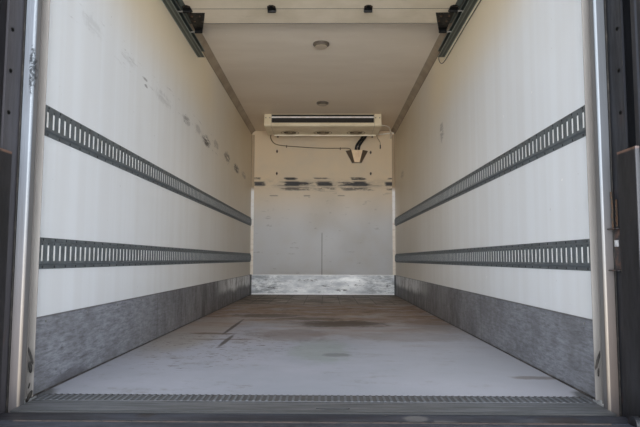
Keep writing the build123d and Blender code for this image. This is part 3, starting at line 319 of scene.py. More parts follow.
# x, height above the floor, half-width, half-height, how solid, strength of each scuff
BULKHEAD_SCUFFS = (
    (-0.97, 1.690, 0.090, 0.040, 0.10, 1.0), (-0.42, 1.692, 0.230, 0.036, 0.06, 1.0),
    (-0.48, 1.690, 0.130, 0.048, 0.14, 1.0), (0.02, 1.690, 0.115, 0.046, 0.12, 1.0),
    (0.48, 1.690, 0.230, 0.038, 0.06, 1.0), (0.56, 1.690, 0.110, 0.048, 0.14, 1.0),
    (1.02, 1.690, 0.085, 0.040, 0.10, 1.0), (-1.02, 1.772, 0.070, 0.022, 0.04, 0.9),
    (-0.50, 1.768, 0.090, 0.026, 0.06, 1.0), (-0.02, 1.774, 0.110, 0.015, 0.02, 0.8),
    (0.53, 1.770, 0.110, 0.026, 0.05, 1.0), (1.04, 1.772, 0.055, 0.016, 0.02, 0.8),
    (-0.40, 1.612, 0.250, 0.034, 0.00, 0.8), (0.04, 1.605, 0.160, 0.040, 0.02, 0.8),
    (0.50, 1.610, 0.260, 0.032, 0.00, 0.8), (1.03, 1.612, 0.070, 0.026, 0.00, 0.7),
    (-0.75, 1.506, 0.060, 0.012, 0.12, 0.5), (-0.24, 1.506, 0.055, 0.012, 0.12, 0.5),
    (0.28, 1.508, 0.050, 0.010, 0.12, 0.5),
)
bulkhead_skin = new_material("bulkhead_skin", (222, 212, 196), 0.5)
colour = tint(ramp("Z", FLOOR_Z + 0.9, FLOOR_Z + 1.85), (209, 210, 213), (228, 205, 171))
cloud = noise(2.0, 5)
cover(span(cloud, 0.4, 0.75), (200, 192, 178), 0.35)
joint = both(near("X", -0.014, 0.0025, 0.006), ramp("Z", FLOOR_Z + 0.95, FLOOR_Z + 0.93))
cover(joint, (84, 82, 80), 0.9)
lines = noise(4.5, 8, 0.85, (1, 1, 5))
ends = both(combine("SUBTRACT", noise(4.3, 4, 0.7, (1, 1, 6)), 0.5), 2.0)
for x, rise, half_w, half_h, solid, strength in BULKHEAD_SCUFFS:
    away = combine("ADD", both(distance("X", x), 1 / half_w), ends)
    level = near("Z", FLOOR_Z + rise, 0.4 * half_h, 1.1 * half_h)
    patch = both(span(away, 0.70, 1.15, 1, 0), level, span(lines, 0.43 - solid, 0.54 - solid))
    cover(patch, (30, 27, 30), strength)
fringe = span(lines, 0.44, 0.54)
faint = both(near("Z", FLOOR_Z + SCUFF_RISE - 0.03, 0.003, 0.010), fringe)
cover(faint, (96, 88, 82), 0.5)
faint = both(near("Z", FLOOR_Z + SCUFF_RISE, 0.02, 0.12), fringe)
cover(faint, (104, 98, 94), 0.22)
marks = both(span(noise(5.5, 3, 0.7, (1, 1, 3.5)), 0.63, 0.69),
             ramp("Z", FLOOR_Z + 1.7, FLOOR_Z + 1.5))
cover(marks, (118, 114, 108), 0.28)
washed = tint(rain_runs(), (213, 214, 214), (184, 181, 174), 0.35)
cover(outer_skin(along("Y"), BULKHEAD_Y), washed)
finish_material(bulkhead_skin, colour, (cloud, 0.4, 0.55), noise(12, 3), 0.002, 0.15)
dress(["bulkhead"], bulkhead_skin)

# Roof panel: off-white skin, duller inside than the walls, with faint cross waves; paler near
# the doorway as painted light and browner towards the bulkhead as painted warm shade
roof_skin = new_material("roof_skin", (232, 220, 204), 0.5)
cloud = noise(1.2, 4, 0.6, (0.5, 1.6, 1))
colour = tint(span(cloud, 0.35, 0.7), (238, 226, 209), (228, 215, 197))
# Painted light near the doorway; painted warm shade towards the bulkhead
cover(ramp("Y", -0.6, -2.2), (255, 247, 235))
cover(ramp("Y", -0.6, 2.6), (222, 200, 172), 0.7)
outer = combine("MAXIMUM", outer_skin(along("Z"), CEILING_Z), outer_skin(along("Y"), BULKHEAD_Y))
cover(outer, (226, 226, 225))
nicks = span(noise(22, 1), 0.79, 0.82)
cover(nicks, (250, 244, 232))
finish_material(roof_skin, colour, (cloud, 0.4, 0.55), noise(2.2, 2, 0.5, (0.2, 1, 1)), 0.003, 0.15)
dress(["roof_panel"], roof_skin)

# Floor: a pale lavender-grey coating over plywood, scraped by pallets and browned with dirt
# towards the front, where dark boards show through
FLOOR_REAR_Y = floor_low.y
BOARDS_Y = 1.7
# x, y, half-width, half-length, strength, colour
FLOOR_STAINS = (
    (0.02, -1.95, 0.22, 0.50, 0.50, (140, 152, 148)),
    (0.16, -0.55, 0.46, 0.34, 0.80, (66, 54, 46)),
    (-0.52, 0.10, 0.40, 0.22, 0.75, (70, 54, 44)),
    (-0.10, -0.15, 0.34, 0.16, 0.70, (78, 64, 54)),
    (0.10, -2.10, 0.11, 0.07, 0.50, (92, 90, 92)),
    (1.02, -2.70, 0.15, 0.05, 0.60, (112, 102, 94)),
    (-0.80, -1.20, 0.24, 0.07, 0.75, (96, 78, 66)),
    (-0.62, -1.50, 0.34, 0.04, 0.60, (104, 90, 82)),
    (0.62, -1.35, 0.50, 0.30, 0.30, (124, 112, 106)),
    (-0.20, -1.25, 0.36, 0.40, 0.50, (112, 98, 92)),
    (0.90, -0.60, 0.30, 0.40, 0.35, (110, 96, 88)),
)
# x, y, half-length of the dark lines that run forwards
FLOOR_LINES = ((-0.69, -0.75, 0.62), (-0.61, -1.55, 0.36))
floor_coat = new_material("floor_coat", (156, 158, 168), 0.6)
patches = noise(1.1, 5, 0.6)
colour = tint(span(patches, 0.35, 0.7), (171, 175, 190), (158, 163, 176))
scrapes = noise(5.0, 8, 0.75, (1, 1.3, 1))
cover(span(scrapes, 0.55, 0.68), (122, 118, 120), 0.5)
pale_right = ramp("X", -0.2, 0.8)
cover(pale_right, (196, 199, 210), 0.45)
pale_left = blot((-0.95, -1.1, FLOOR_Z), (0.34, 1.3, 0.5), 0.3, 3)
cover(pale_left, (154, 146, 138), 0.7)
drift = both(combine("SUBTRACT", noise(1.5, 7, 0.7, (1, 1.8, 1)), 0.5), 3.4)
dirt = span(combine("ADD", along("Y"), drift), -1.9, 0.5)
grime = noise(2.6, 8, 0.75, (1, 2.2, 1))
dirt = both(dirt, span(grime, 0.32, 0.56, 0.30, 1))
cover(dirt, (152, 130, 114))
fine = noise(9, 8, 0.8, (1, 2.0, 1))
far_dirt = ramp("Y", -1.4, 0.6)
darker = both(span(grime, 0.52, 0.64), far_dirt)
cover(darker, (96, 76, 64), 0.7)
cover(both(span(fine, 0.52, 0.62), far_dirt), (92, 72, 58), 0.8)
cover(both(span(fine, 0.42, 0.34), far_dirt), (186, 166, 150), 0.7)
for x, y, half_w, half_l, strength, stain in FLOOR_STAINS:
    patch = blot((x, y, FLOOR_Z), (half_w, half_l, 0.5), 0.8, 7)
    cover(patch, stain, strength)
for x, y, half_l in FLOOR_LINES:
    streak = blot((x, y, FLOOR_Z), (0.022, half_l, 0.5), 0.35, 5)
    cover(streak, (60, 52, 50), 0.85)
specks = both(span(noise(16, 4, 0.65, (1, 2.0, 1)), 0.59, 0.63),
              blot((-0.66, -1.75, FLOOR_Z), (0.62, 0.95, 0.5), 0.4, 3))
cover(specks, (84, 74, 70), 0.85)
wisps = both(span(noise(6, 7, 0.8, (1, 4.0, 1)), 0.58, 0.66), ramp("Y", -2.9, -1.9))
cover(wisps, (112, 102, 98), 0.5)
board_edge = combine("ADD", along("Y"), both(noise(3, 5, 0.7), 0.7))
grain = noise(3.0, 7, 0.75, (1, 3, 1))
plank = tint(span(grain, 0.38, 0.60), (172, 160, 150), (88, 78, 70))
plank_ends = combine("PINGPONG", along("X"), 0.11)
plank = tint(span(plank_ends, 0.008, 0.003), plank, (58, 50, 44), 0.6)
cover(span(board_edge, BOARDS_Y, BOARDS_Y + 0.3), plank)
# Painted highlight: a pale line along the floor's rear edge, where the light catches it
rear_edge_highlight = both(ramp("Y", FLOOR_REAR_Y + 0.012, FLOOR_REAR_Y + 0.008), near("X", 0, 1.020, 1.035))
cover(rear_edge_highlight, (196, 198, 206))
for side in (-1, 1):
    patch = blot((side * 1.085, FLOOR_REAR_Y + 0.01, FLOOR_Z), (0.06, 0.12, 0.5), 0.3, 20)
    cover(patch, (88, 90, 92), 0.85)
beneath = ramp("Z", FLOOR_Z - 0.008, FLOOR_Z - 0.012)
cover(beneath, tint(span(patches, 0.35, 0.7), (88, 84, 80), (66, 62, 58)))
grit = noise(160, 2)
finish_material(floor_coat, colour, (patches, 0.5, 0.72), combine("ADD", scrapes, grit), 0.001, 0.3)
dress(["floor_panel"], floor_coat)

# Tie rails: pressed steel with a dull zinc coat, mottled and rubbed, riveted through both
# flanges to the walls
zinc = new_material("tie_rail_zinc", (98, 105, 106), 0.5, 0.35)
spangle = noise(28, 5, 0.65)
colour = tint(span(spangle, 0.35, 0.65), (92, 99, 104), (112, 120, 125))
rub = span(noise(6, 6, 0.7, (1, 0.8, 6)), 0.56, 0.68)
cover(rub, (134, 140, 144), 0.35)
finish_material(zinc, colour, (spangle, 0.38, 0.6), spangle, 0.0006, 0.3)
dress(["left_tie_rails", "right_tie_rails"], zinc)


def open_mesh():
    """Edit mode on the active piece, with all of its mesh selected."""
    bpy.ops.object.mode_set(mode="EDIT")
    bpy.ops.mesh.select_all(action="SELECT")


def close_mesh():
    """Object mode again."""
    bpy.ops.object.mode_set(mode="OBJECT")


def half_dome(size, turn, rings=6):
    """Upper half of a ball of these half-sizes, closed beneath, turned about the origin."""
    bpy.ops.mesh.primitive_uv_sphere_add(segments=10, ring_count=rings, radius=1)
    open_mesh()
    bpy.ops.mesh.bisect(plane_co=(0, 0, 0), plane_no=(0, 0, 1), use_fill=True, clear_inner=True)
    close_mesh()
    bpy.context.object.scale = size
    bpy.context.object.rotation_euler = turn
    bpy.ops.object.transform_apply()


def turned_to(facing):
    """The turn that brings Z to that direction."""
    return Vector(facing).to_track_quat("Z", "Y").to_euler()


def dome_head(radius, height, facing):
    """Low round head at the origin, closed behind, its top towards facing."""
    half_dome((radius, radius, height), turned_to(facing))


def put(place):
    """Moves the active piece there."""
    bpy.context.object.location = place


def row(count, step):
    """The active piece again and again, count in all, each a step further."""
    piece = bpy.context.object
    array = piece.modifiers.new("row", "ARRAY")
    array.count = count
    array.use_relative_offset = False
    array.use_constant_offset = True
    array.constant_offset_displace = step
    bpy.ops.object.modifier_apply(modifier=array.name)


def both_sides():
    """The active piece again on the other side of the body."""
    piece = bpy.context.object
    bpy.ops.object.transform_apply()
    mirror = piece.modifiers.new("other_side", "MIRROR")
    mirror.use_mirror_merge = False
    bpy.ops.object.modifier_apply(modifier=mirror.name)


def fasten(name, made, body="box_body"):
    """Names the active piece, puts its place in its mesh, and gives it slot, finish and body."""
    piece = bpy.context.object
    bpy.ops.object.transform_apply()
    bpy.ops.object.shade_smooth_by_angle(angle=math.radians(30))
    piece.name = name
    piece.data.name = name
    piece.data.materials.clear()
    piece.data.materials.append(made)
    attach(piece, body)
    piece.select_set(False)
    return piece


def mottled(name, plain, roughness, metallic, grain, limits, first, second, gloss=None, bump=None):
    """Finish in two tones by one noise between limits, which can set its gloss and height."""
    made = new_material(name, plain, roughness, metallic)
    spots = noise(*grain)
    colour = tint(span(spots, *limits), first, second)
    return finish_material(made, colour, gloss and (spots, *gloss), bump and spots, *(bump or ()))


rivet_dark = mottled("rivet_dark", (62, 66, 70), 0.5, 0.3, (90, 3), (0.4, 0.65), (66, 70, 74),
                     (46, 48, 51))

rivet_alloy = mottled("rivet_alloy", (150, 152, 152), 0.4, 0.6, (90, 3), (0.4, 0.65),
                      (160, 162, 162), (112, 113, 112))

RAIL_SLOT_PITCH = 0.0508
RAIL_RIVET_PITCH = 2 * RAIL_SLOT_PITCH
RAIL_FLANGE_T = 0.003
RAIL_LEVELS_APART = 0.543
FLANGE_MID = 0.0555
RAIL_Z = FLOOR_Z + 0.560
rail_low, rail_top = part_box("right_tie_rails")
rivet_count = int((rail_top.y - rail_low.y) / RAIL_RIVET_PITCH)
dome_head(0.0060, 0.0025, (-1, 0, 0))
put((rail_top.x - RAIL_FLANGE_T, rail_low.y + RAIL_RIVET_PITCH / 2, RAIL_Z + FLANGE_MID))
row(rivet_count, (0, RAIL_RIVET_PITCH, 0))
row(2, (0, 0, -2 * FLANGE_MID))
row(2, (0, 0, RAIL_LEVELS_APART))
both_sides()
fasten("rail_rivets", rivet_dark)

# A small punched dimple above each slot of the rails, and a white block close behind each slot's
# face: painted light, standing in for the lit white wall seen through the slots
SLOT_TOP = 0.032
RAIL_RISE = 0.0127
DIMPLE_UP = 0.006
SLOT_COUNT = int((rail_top.y - rail_low.y) / RAIL_SLOT_PITCH)
slot_start = (rail_low.y + rail_top.y - (SLOT_COUNT - 1) * RAIL_SLOT_PITCH) / 2
dome_head(0.0042, 0.0012, (-1, 0, 0))
put((rail_top.x - RAIL_RISE, slot_start, RAIL_Z + SLOT_TOP + DIMPLE_UP))
row(SLOT_COUNT, (0, RAIL_SLOT_PITCH, 0))
row(2, (0, 0, RAIL_LEVELS_APART))
both_sides()
fasten("rail_dimples", rivet_dark)


def block(low, high, bevel, segments=1):
    """Box between two corners, rounded off by the bevel, its place in its mesh."""
    low, high = Vector(low), Vector(high)
    bpy.ops.mesh.primitive_cube_add(size=1, location=(low + high) / 2)
    bpy.context.object.scale = high - low
    bpy.ops.object.transform_apply()
    open_mesh()
    bpy.ops.mesh.bevel(offset=bevel, segments=segments, affect="EDGES")
    close_mesh()


slot_light_and_tie_white = new_material("rail_slot_light_fill", (238, 240, 242), 0.5)
colour = tint(span(noise(12, 4), 0.35, 0.7), (246, 248, 250), (222, 222, 220))
# Painted shade: the blocks darker deeper inside the body, where less light reaches; the hose ties
# share this white
deep = ramp("Y", -0.5, 2.0)
cover(deep, (128, 128, 126), 0.6)
finish_material(slot_light_and_tie_white, colour)

SLOT_W = 0.016
SLOT_GAP = 0.0004
FILL_SINK = 0.0010
FILL_T = 0.0045
fill_x = rail_top.x - RAIL_RISE + FILL_SINK
block((fill_x, slot_start - SLOT_W / 2 + SLOT_GAP, RAIL_Z - SLOT_TOP + SLOT_GAP),
      (fill_x + FILL_T, slot_start + SLOT_W / 2 - SLOT_GAP, RAIL_Z + SLOT_TOP - SLOT_GAP),
      0.0005)
row(SLOT_COUNT, (0, RAIL_SLOT_PITCH, 0))
row(2, (0, 0, RAIL_LEVELS_APART))
both_sides()
fasten("rail_slot_light_fill", slot_light_and_tie_white)

# Kick plates: aluminium sheet along the foot of the walls, dragged dark by trolleys along
# its length, pop-riveted near its top edge, with a bead of sealant along the floor
kick_low, kick_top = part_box("side_kick_plates")
KICK_JOINTS = (-1.48, 1.51)
kick = new_material("kick_sheet", (140, 142, 150), 0.5, 0.2)
blotches = noise(2.6, 5, 0.7)
grain = noise(30, 7, 0.8, (1, 0.35, 2.0))
colour = tint(span(grain, 0.36, 0.66), (166, 171, 182), (118, 120, 127))
cover(span(blotches, 0.42, 0.66), (112, 113, 117), 0.6)
drags = span(noise(5.0, 8, 0.8, (2, 1.1, 9)), 0.54, 0.64)
cover(drags, (92, 92, 97), 0.55)
deep = ramp("Y", -2.7, 0.0)
runs = noise(5.0, 6, 0.75, (1, 1.6, 0.7))
cover(deep, tint(span(runs, 0.40, 0.60), (132, 128, 128), (84, 78, 76)), 0.8)
ragged_z = combine("ADD", along("Z"), both(blotches, 0.16))
wiped = both(span(ragged_z, kick_top.z - 0.10, kick_top.z - 0.02), ramp("Y", 0.3, 1.6))
cover(wiped, tint(span(runs, 0.46, 0.62), (250, 251, 252), (176, 174, 173)), 0.9)
# Painted shade: the right kick plate darker, from how the light falls
right_kick_shade = ramp("X", 0, 0.1)
cover(right_kick_shade, (64, 62, 62), 0.12)
# Painted shade: dark at the front ends of the kick plates, in the corners by the bulkhead
kick_corner_shade = near("Y", kick_top.y, 0.030, 0.060)
cover(kick_corner_shade, (40, 38, 38), 0.9)
bright = span(noise(7, 4, 0.7, (1, 2, 12)), 0.64, 0.72)
cover(bright, (186, 190, 198), 0.5)
gouges = span(noise(6, 5, 0.8, (1, 1.5, 5)), 0.62, 0.70)
cover(gouges, (74, 74, 80), 0.7)
# Painted shadow: a dark band at the foot of the left kick plate near the doorway
foot = blot((-WALL_X, -2.80, FLOOR_Z + 0.010), (0.3, 0.24, 0.045), 0.3, 6)
cover(foot, (92, 92, 98), 0.7)
for joint_y in KICK_JOINTS:
    cover(near("Y", joint_y, 0.0015, 0.004), (48, 46, 46), 0.8)
lip = ramp("Z", kick_top.z - 0.010, kick_top.z - 0.004)
cover(lip, (92, 90, 90), 0.6)
finish_material(kick, colour, (blotches, 0.42, 0.62), grain, 0.0008, 0.3)
dress(["side_kick_plates"], kick)

KICK_RIVET_PITCH = 0.4
KICK_RIVET_DROP = 0.022
dome_head(0.0065, 0.0025, (-1, 0, 0))
put((kick_top.x - RAIL_FLANGE_T, kick_low.y + KICK_RIVET_PITCH / 4, kick_top.z - KICK_RIVET_DROP))
row(int((kick_top.y - kick_low.y) / KICK_RIVET_PITCH) + 1, (0, KICK_RIVET_PITCH, 0))
both_sides()
fasten("kick_rivets", rivet_alloy)

sealant = new_material("foot_sealant", (58, 57, 58), 0.55)
colour = tint(span(noise(14, 5, 0.7), 0.4, 0.7), (52, 51, 52), (96, 93, 92))
finish_material(sealant, colour, None, noise(40, 3), 0.001, 0.4)

BEAD = 0.007
block((kick_top.x - RAIL_FLANGE_T - BEAD, kick_low.y, FLOOR_Z),
      (kick_top.x - RAIL_FLANGE_T, kick_top.y, FLOOR_Z + BEAD), BEAD / 3)
both_sides()
fasten("side_foot_sealant", sealant)

front_low, front_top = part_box("front_kick_plate")
# x, height above the floor, half-length of the strokes that boxes have left
FRONT_STROKES = (
    (-0.20, 0.222, 0.20), (0.05, 0.150, 0.09), (0.55, 0.150, 0.09), (1.00, 0.145, 0.08),
    (-0.75, 0.110, 0.10), (0.30, 0.075, 0.12), (-0.45, 0.060, 0.10),
)
front_kick = new_material("front_kick_sheet", (240, 244, 247), 0.45, 0.3)
flakes = noise(3.2, 7, 0.72, (1, 1, 3.0))
colour = tint(span(flakes, 0.36, 0.64), (250, 252, 253), (214, 219, 225))
outer = span(distance("X"), 0.50, 0.75)
scratches = span(noise(7, 8, 0.8, (1, 1, 4)), 0.47, 0.58)
cover(both(outer, scratches), (134, 139, 146), 0.6)
for x, rise, half_l in FRONT_STROKES:
    patch = blot((x, front_low.y, FLOOR_Z + rise), (half_l, 0.3, 0.024), 0.6, 8)
    cover(both(patch, scratches), (84, 84, 88), 0.9)
chips = span(noise(10, 7, 0.8, (1, 1, 3)), 0.58, 0.65)
cover(chips, (118, 120, 124), 0.6)
# Painted shade: dark at the plate's ends, in the corners by the side walls
ends = span(distance("X"), front_top.x - 0.026, front_top.x - 0.016)
# Painted highlight: white lines along the plate's top edge and low down near its foot
rims = combine("ADD", near("Z", front_low.z + 0.016, 0.008, 0.014),
               near("Z", front_top.z, 0.006, 0.012))
cover(rims, (255, 255, 255), 0.8)
cover(ends, (52, 50, 50), 0.9)
finish_material(front_kick, colour, (flakes, 0.35, 0.6), flakes, 0.001, 0.3)
dress(["front_kick_plate"], front_kick)

block((front_low.x, front_low.y - BEAD, FLOOR_Z), (front_top.x, front_low.y, FLOOR_Z + BEAD),
      BEAD / 3)
fasten("front_foot_sealant", sealant)

# Coves and corner strips: extruded plastic, tan, and pale low on the bulkhead's corners
tan = new_material("cove_plastic", (150, 132, 110), 0.45)
colour = tint(span(noise(4, 4), 0.35, 0.7), (164, 147, 124), (140, 123, 103))
edge_line = near("Z", CEILING_Z - 0.055, 0.002, 0.005)
cover(edge_line, (92, 74, 58), 0.6)
finish_material(tan, colour, None, noise(30, 2), 0.0005, 0.2)
dress(["coves"], tan)

strip_low, strip_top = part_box("corner_strips")
strip = new_material("corner_strip", (236, 236, 232), 0.4)
worn = noise(8, 4, 0.6, (1, 1, 4))
colour = tint(ramp("Z", FLOOR_Z + 1.25, FLOOR_Z + 0.9), (255, 255, 255), (252, 244, 232))
cover(span(worn, 0.52, 0.7), (214, 200, 184), 0.5)
cover(ramp("Z", FLOOR_Z + 1.55, FLOOR_Z + 1.65), (176, 154, 124))
rims = combine("ADD", near("X", strip_top.x, 0.003, 0.006), near("X", strip_low.x, 0.003, 0.006))
cover(rims, (110, 96, 78), 0.35)
finish_material(strip, colour)
dress(["corner_strips"], strip)

# Ceiling lights: two round ribbed frosted lenses on the ceiling's middle line, each clipped
# into a dark plastic rim
light_low, light_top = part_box("ceiling_lights")
LIGHT_R = (light_top.x - light_low.x) / 2
LIGHT_YS = (light_low.y + LIGHT_R, light_top.y - LIGHT_R)
RIM_DROP = 0.012


def waves(axis, scale):
    """Even ridges, 0 to 1, one after the other along the axis."""
    node = tree.nodes.new("ShaderNodeTexWave")
    node.bands_direction = axis
    node.inputs["Scale"].default_value = scale
    tree.links.new(object_place(), node.inputs["Vector"])
    return node.outputs["Fac"]


def twin_of(model):
    """Copy of the piece with its own mesh, selected in the scene."""
    twin = model.copy()
    twin.data = model.data.copy()
    bpy.context.scene.collection.objects.link(twin)
    twin.select_set(True)
    return twin


def set_out(places, sizes=(), turns=()):
    """Copies of the active piece at these places, some scaled and turned, joined as one."""
    model = bpy.context.object
    model.select_set(False)
    twins = [twin_of(model) for place in places]
    for twin, place in zip(twins, places):
        twin.location = place
    for twin, size, turn in zip(twins, sizes, turns):
        twin.scale = size
        twin.rotation_euler = turn
    bpy.data.objects.remove(model)
    bpy.context.view_layer.objects.active = twins[0]
    bpy.ops.object.join()


lens = new_material("frosted_lens", (168, 158, 142), 0.3)
rings = waves("Y", 26)
colour = tint(rings, (206, 188, 164), (150, 134, 114))
rim_zone = ramp("Z", light_low.z + 0.002, light_low.z + 0.004)
cover(rim_zone, (98, 88, 76))
finish_material(lens, colour, None, rings, 0.001, 0.3)
dress(["ceiling_lights"], lens)

rim_plastic = mottled("rim_plastic", (66, 60, 54), 0.4, 0, (40, 3), (0.35, 0.7), (96, 88, 80),
                      (66, 60, 55))

RIM_BEAD = 0.004
bpy.ops.mesh.primitive_torus_add(major_radius=LIGHT_R - RIM_BEAD, minor_radius=RIM_BEAD,
                                 major_segments=48, minor_segments=8)
set_out([(0, y, CEILING_Z - RIM_DROP) for y in LIGHT_YS])
fasten("light_rims", rim_plastic)

# Four bolts on short upright straps hold the nose-mounted cooling unit through the bulkhead;
# they are dark with age
STRAP_W = 0.018
STRAP_T = 0.003
STRAP_UP = 0.022
STRAP_DOWN = 0.026
# x, height above the floor
BULKHEAD_BOLTS = ((-0.709, 2.193), (0.73, 2.178), (-0.709, 1.85), (0.73, 1.85))


def bolt_head(width, height, facing):
    """Hexagon head with a chamfered top, on a round washer, at the origin."""
    bpy.ops.mesh.primitive_cylinder_add(vertices=6, radius=width / 2, depth=height,
                                        location=(0, 0, height / 2))
    head = bpy.context.object
    bpy.ops.object.transform_apply()
    bpy.ops.object.mode_set(mode="EDIT")
    bpy.ops.mesh.select_mode(type="FACE")
    mesh = bmesh.from_edit_mesh(head.data)
    for face in mesh.faces:
        face.select_set(face.normal.z > 0.9)
    bmesh.update_edit_mesh(head.data)
    bpy.ops.mesh.inset(thickness=width / 10)
    bpy.ops.transform.translate(value=(0, 0, height / 8))
    bpy.ops.mesh.primitive_cylinder_add(vertices=14, radius=width * 0.75, depth=height / 3,
                                        location=(0, 0, height / 6))
    close_mesh()
    head.rotation_euler = turned_to(facing)
    bpy.ops.object.transform_apply()


bolt_steel = mottled("bolt_steel", (62, 56, 50), 0.5, 0.4, (60, 4), (0.4, 0.65), (66, 60, 54),
                     (98, 74, 56), gloss=(0.4, 0.7))

bolt_head(0.021, 0.010, (0, -1, 0))
set_out([(x, BULKHEAD_Y, FLOOR_Z + rise) for x, rise in BULKHEAD_BOLTS])
fasten("bulkhead_bolts", bolt_steel)

block((-STRAP_W / 2, BULKHEAD_Y - STRAP_T, -STRAP_DOWN), (STRAP_W / 2, BULKHEAD_Y, STRAP_UP), 0.001)
set_out([(x, 0, FLOOR_Z + rise) for x, rise in BULKHEAD_BOLTS])
fasten("bolt_straps", bolt_steel)

# Evaporator: moulded housing in cream-white plastic with separate end cheeks, a lip along
# its back edge made paler than the housing as a painted highlight, and the coil's dark fins
# behind the air slot
evap_low, evap_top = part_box("evaporator_housing")
CHEEK_W = 0.098
housing = new_material("housing_plastic", (232, 224, 206), 0.38)
dust = noise(3.5, 4)
colour = tint(span(dust, 0.4, 0.75), (234, 218, 186), (216, 199, 166))
seams = near("X", evap_low.x + CHEEK_W - 0.004, 0.001, 0.0025)
seams = combine("ADD", seams, near("X", evap_top.x - CHEEK_W + 0.004, 0.001, 0.0025))
cover(seams, (120, 110, 96), 0.7)
# Painted shade: dark inside the housing behind its front, in the air slot
housing_recess_shade = both(ramp("Y", evap_low.y + 0.030, evap_low.y + 0.045),
              ramp("Z", evap_low.z + 0.004, evap_low.z + 0.005))
housing_recess_shade = both(housing_recess_shade, near("X", 0, evap_top.x - CHEEK_W - 0.002, evap_top.x - CHEEK_W + 0.002))
cover(housing_recess_shade, (66, 58, 48))
finish_material(housing, colour, (dust, 0.32, 0.5))
dress(["evaporator_housing"], housing)

# Painted highlight: the lip paler than the housing's own plastic
lip_highlight_plastic = mottled("lip_highlight_plastic", (252, 240, 214), 0.35, 0, (5, 3), (0.4, 0.7), (255, 246, 222),
                      (240, 226, 198))

LIP_DROP = 0.018
LIP_DEPTH = 0.018
LIP_SETBACK = 0.022
block((evap_low.x + 0.09, evap_top.y - LIP_SETBACK - LIP_DEPTH, evap_low.z - LIP_DROP),
      (evap_top.x - 0.03, evap_top.y - LIP_SETBACK, evap_low.z), 0.003, 2)
fasten("evaporator_rear_lip", lip_highlight_plastic)

EVAP_BRACKET_XS = (-0.655, 0.715)
block((-0.012, evap_top.y - LIP_SETBACK, -0.036), (0.012, evap_top.y - 0.004, 0.004), 0.003)
set_out([(x, 0, evap_low.z) for x in EVAP_BRACKET_XS])
fasten("evaporator_brackets", bolt_steel)

EVAP_SCREW_INSETS = (0.022, 0.076)
EVAP_SCREW_RISES = (0.060, 0.120)
dome_head(0.007, 0.003, (0, -1, 0))
set_out([(side * (evap_top.x - inset), evap_low.y + 0.012, evap_low.z + rise) for side in (-1, 1)
         for inset in EVAP_SCREW_INSETS for rise in EVAP_SCREW_RISES])
fasten("evaporator_screws", bolt_steel)

fins = new_material("coil_fins", (60, 56, 52), 0.5, 0.3)
lines = waves("X", 60)
colour = tint(lines, (34, 32, 30), (66, 60, 54))
finish_material(fins, colour, None, lines, 0.002, 0.5)
dress(["evaporator_coil"], fins)

vane = mottled("vane_aluminium", (246, 240, 230), 0.35, 0, (12, 3), (0.35, 0.7), (255, 252, 246),
               (236, 229, 216))
dress(["evaporator_vane"], vane)

# Fans: moulded rotors behind guards of welded wire rings on four flat arms; the guard's boss
# carries the motor's spindle
EVAP_FAN_Y = 2.575
EVAP_FAN_XS = (-0.47, 0.0, 0.47)
EVAP_BELL_R = 0.122
COND_FAN_X = 0.400
COND_BELL_R = 0.212
COND_FAN_Z = FLOOR_Z + 1.990
SPINDLE_R = 0.010
SPINDLE_L = 0.060
WIRE_R = 0.0019
RING_PITCH = 0.017
RIM_W = 0.010
BOSS_R = 0.034
BOSS_CAP_R = 0.022
ARM_START = 0.030
ARM_W = 0.009
ARM_T = 0.0016

plastic = mottled("black_plastic", (32, 31, 30), 0.45, 0, (18, 4), (0.4, 0.75), (30, 29, 29),
                  (60, 55, 49), bump=(0.0004, 0.2))
dress(["evaporator_left_rotor", "evaporator_middle_rotor", "evaporator_right_rotor",
       "condenser_left_rotor", "condenser_right_rotor"], plastic)


def wire_guard(bell_r, facing):
    """Guard about the origin: a flat rim, wire rings, four arms, a boss and its spindle."""
    rings = int((bell_r - ARM_START) / RING_PITCH)
    bpy.ops.mesh.primitive_torus_add(major_radius=bell_r + RIM_W / 2, minor_radius=RIM_W / 2,
                                     major_segments=56, minor_segments=8)
    guard = bpy.context.object
    guard.scale = (1, 1, 0.38)
    guard.location = (0, 0, WIRE_R)
    bpy.ops.object.transform_apply()
    bpy.ops.object.mode_set(mode="EDIT")
    for ring in range(rings):
        bpy.ops.mesh.primitive_torus_add(major_radius=bell_r - ring * RING_PITCH,
                                         minor_radius=WIRE_R, major_segments=48, minor_segments=6,
                                         location=(0, 0, WIRE_R))
    bpy.ops.mesh.primitive_cylinder_add(vertices=28, radius=BOSS_R, depth=2 * WIRE_R,
                                        location=(0, 0, WIRE_R))
    bpy.ops.mesh.primitive_cylinder_add(vertices=28, radius=BOSS_CAP_R, depth=WIRE_R,
                                        location=(0, 0, 1.5 * WIRE_R))
    bpy.ops.mesh.primitive_cylinder_add(vertices=20, radius=SPINDLE_R, depth=SPINDLE_L,
                                        location=(0, 0, -SPINDLE_L / 2))
    for turn in range(4):
        middle = (bell_r + ARM_START) / 2
        angle = math.radians(45 + 90 * turn)
        place = (middle * math.cos(angle), middle * math.sin(angle), ARM_T / 2)
        bpy.ops.mesh.primitive_cube_add(size=1, location=place, rotation=(0, 0, angle),
                                        scale=(bell_r - ARM_START + 0.004, ARM_W, ARM_T))
    close_mesh()
    guard.rotation_euler = turned_to(facing)
    bpy.ops.object.transform_apply()


guard_plastic = mottled("guard_plastic", (150, 132, 106), 0.5, 0, (18, 4), (0.4, 0.75),
                        (168, 148, 118), (132, 114, 88))
wire_guard(EVAP_BELL_R, (0, 0, -1))
set_out([(x, EVAP_FAN_Y, evap_low.z) for x in EVAP_FAN_XS])
guards = fasten("evaporator_wire_guards", guard_plastic)
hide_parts("evaporator_fan_guards")

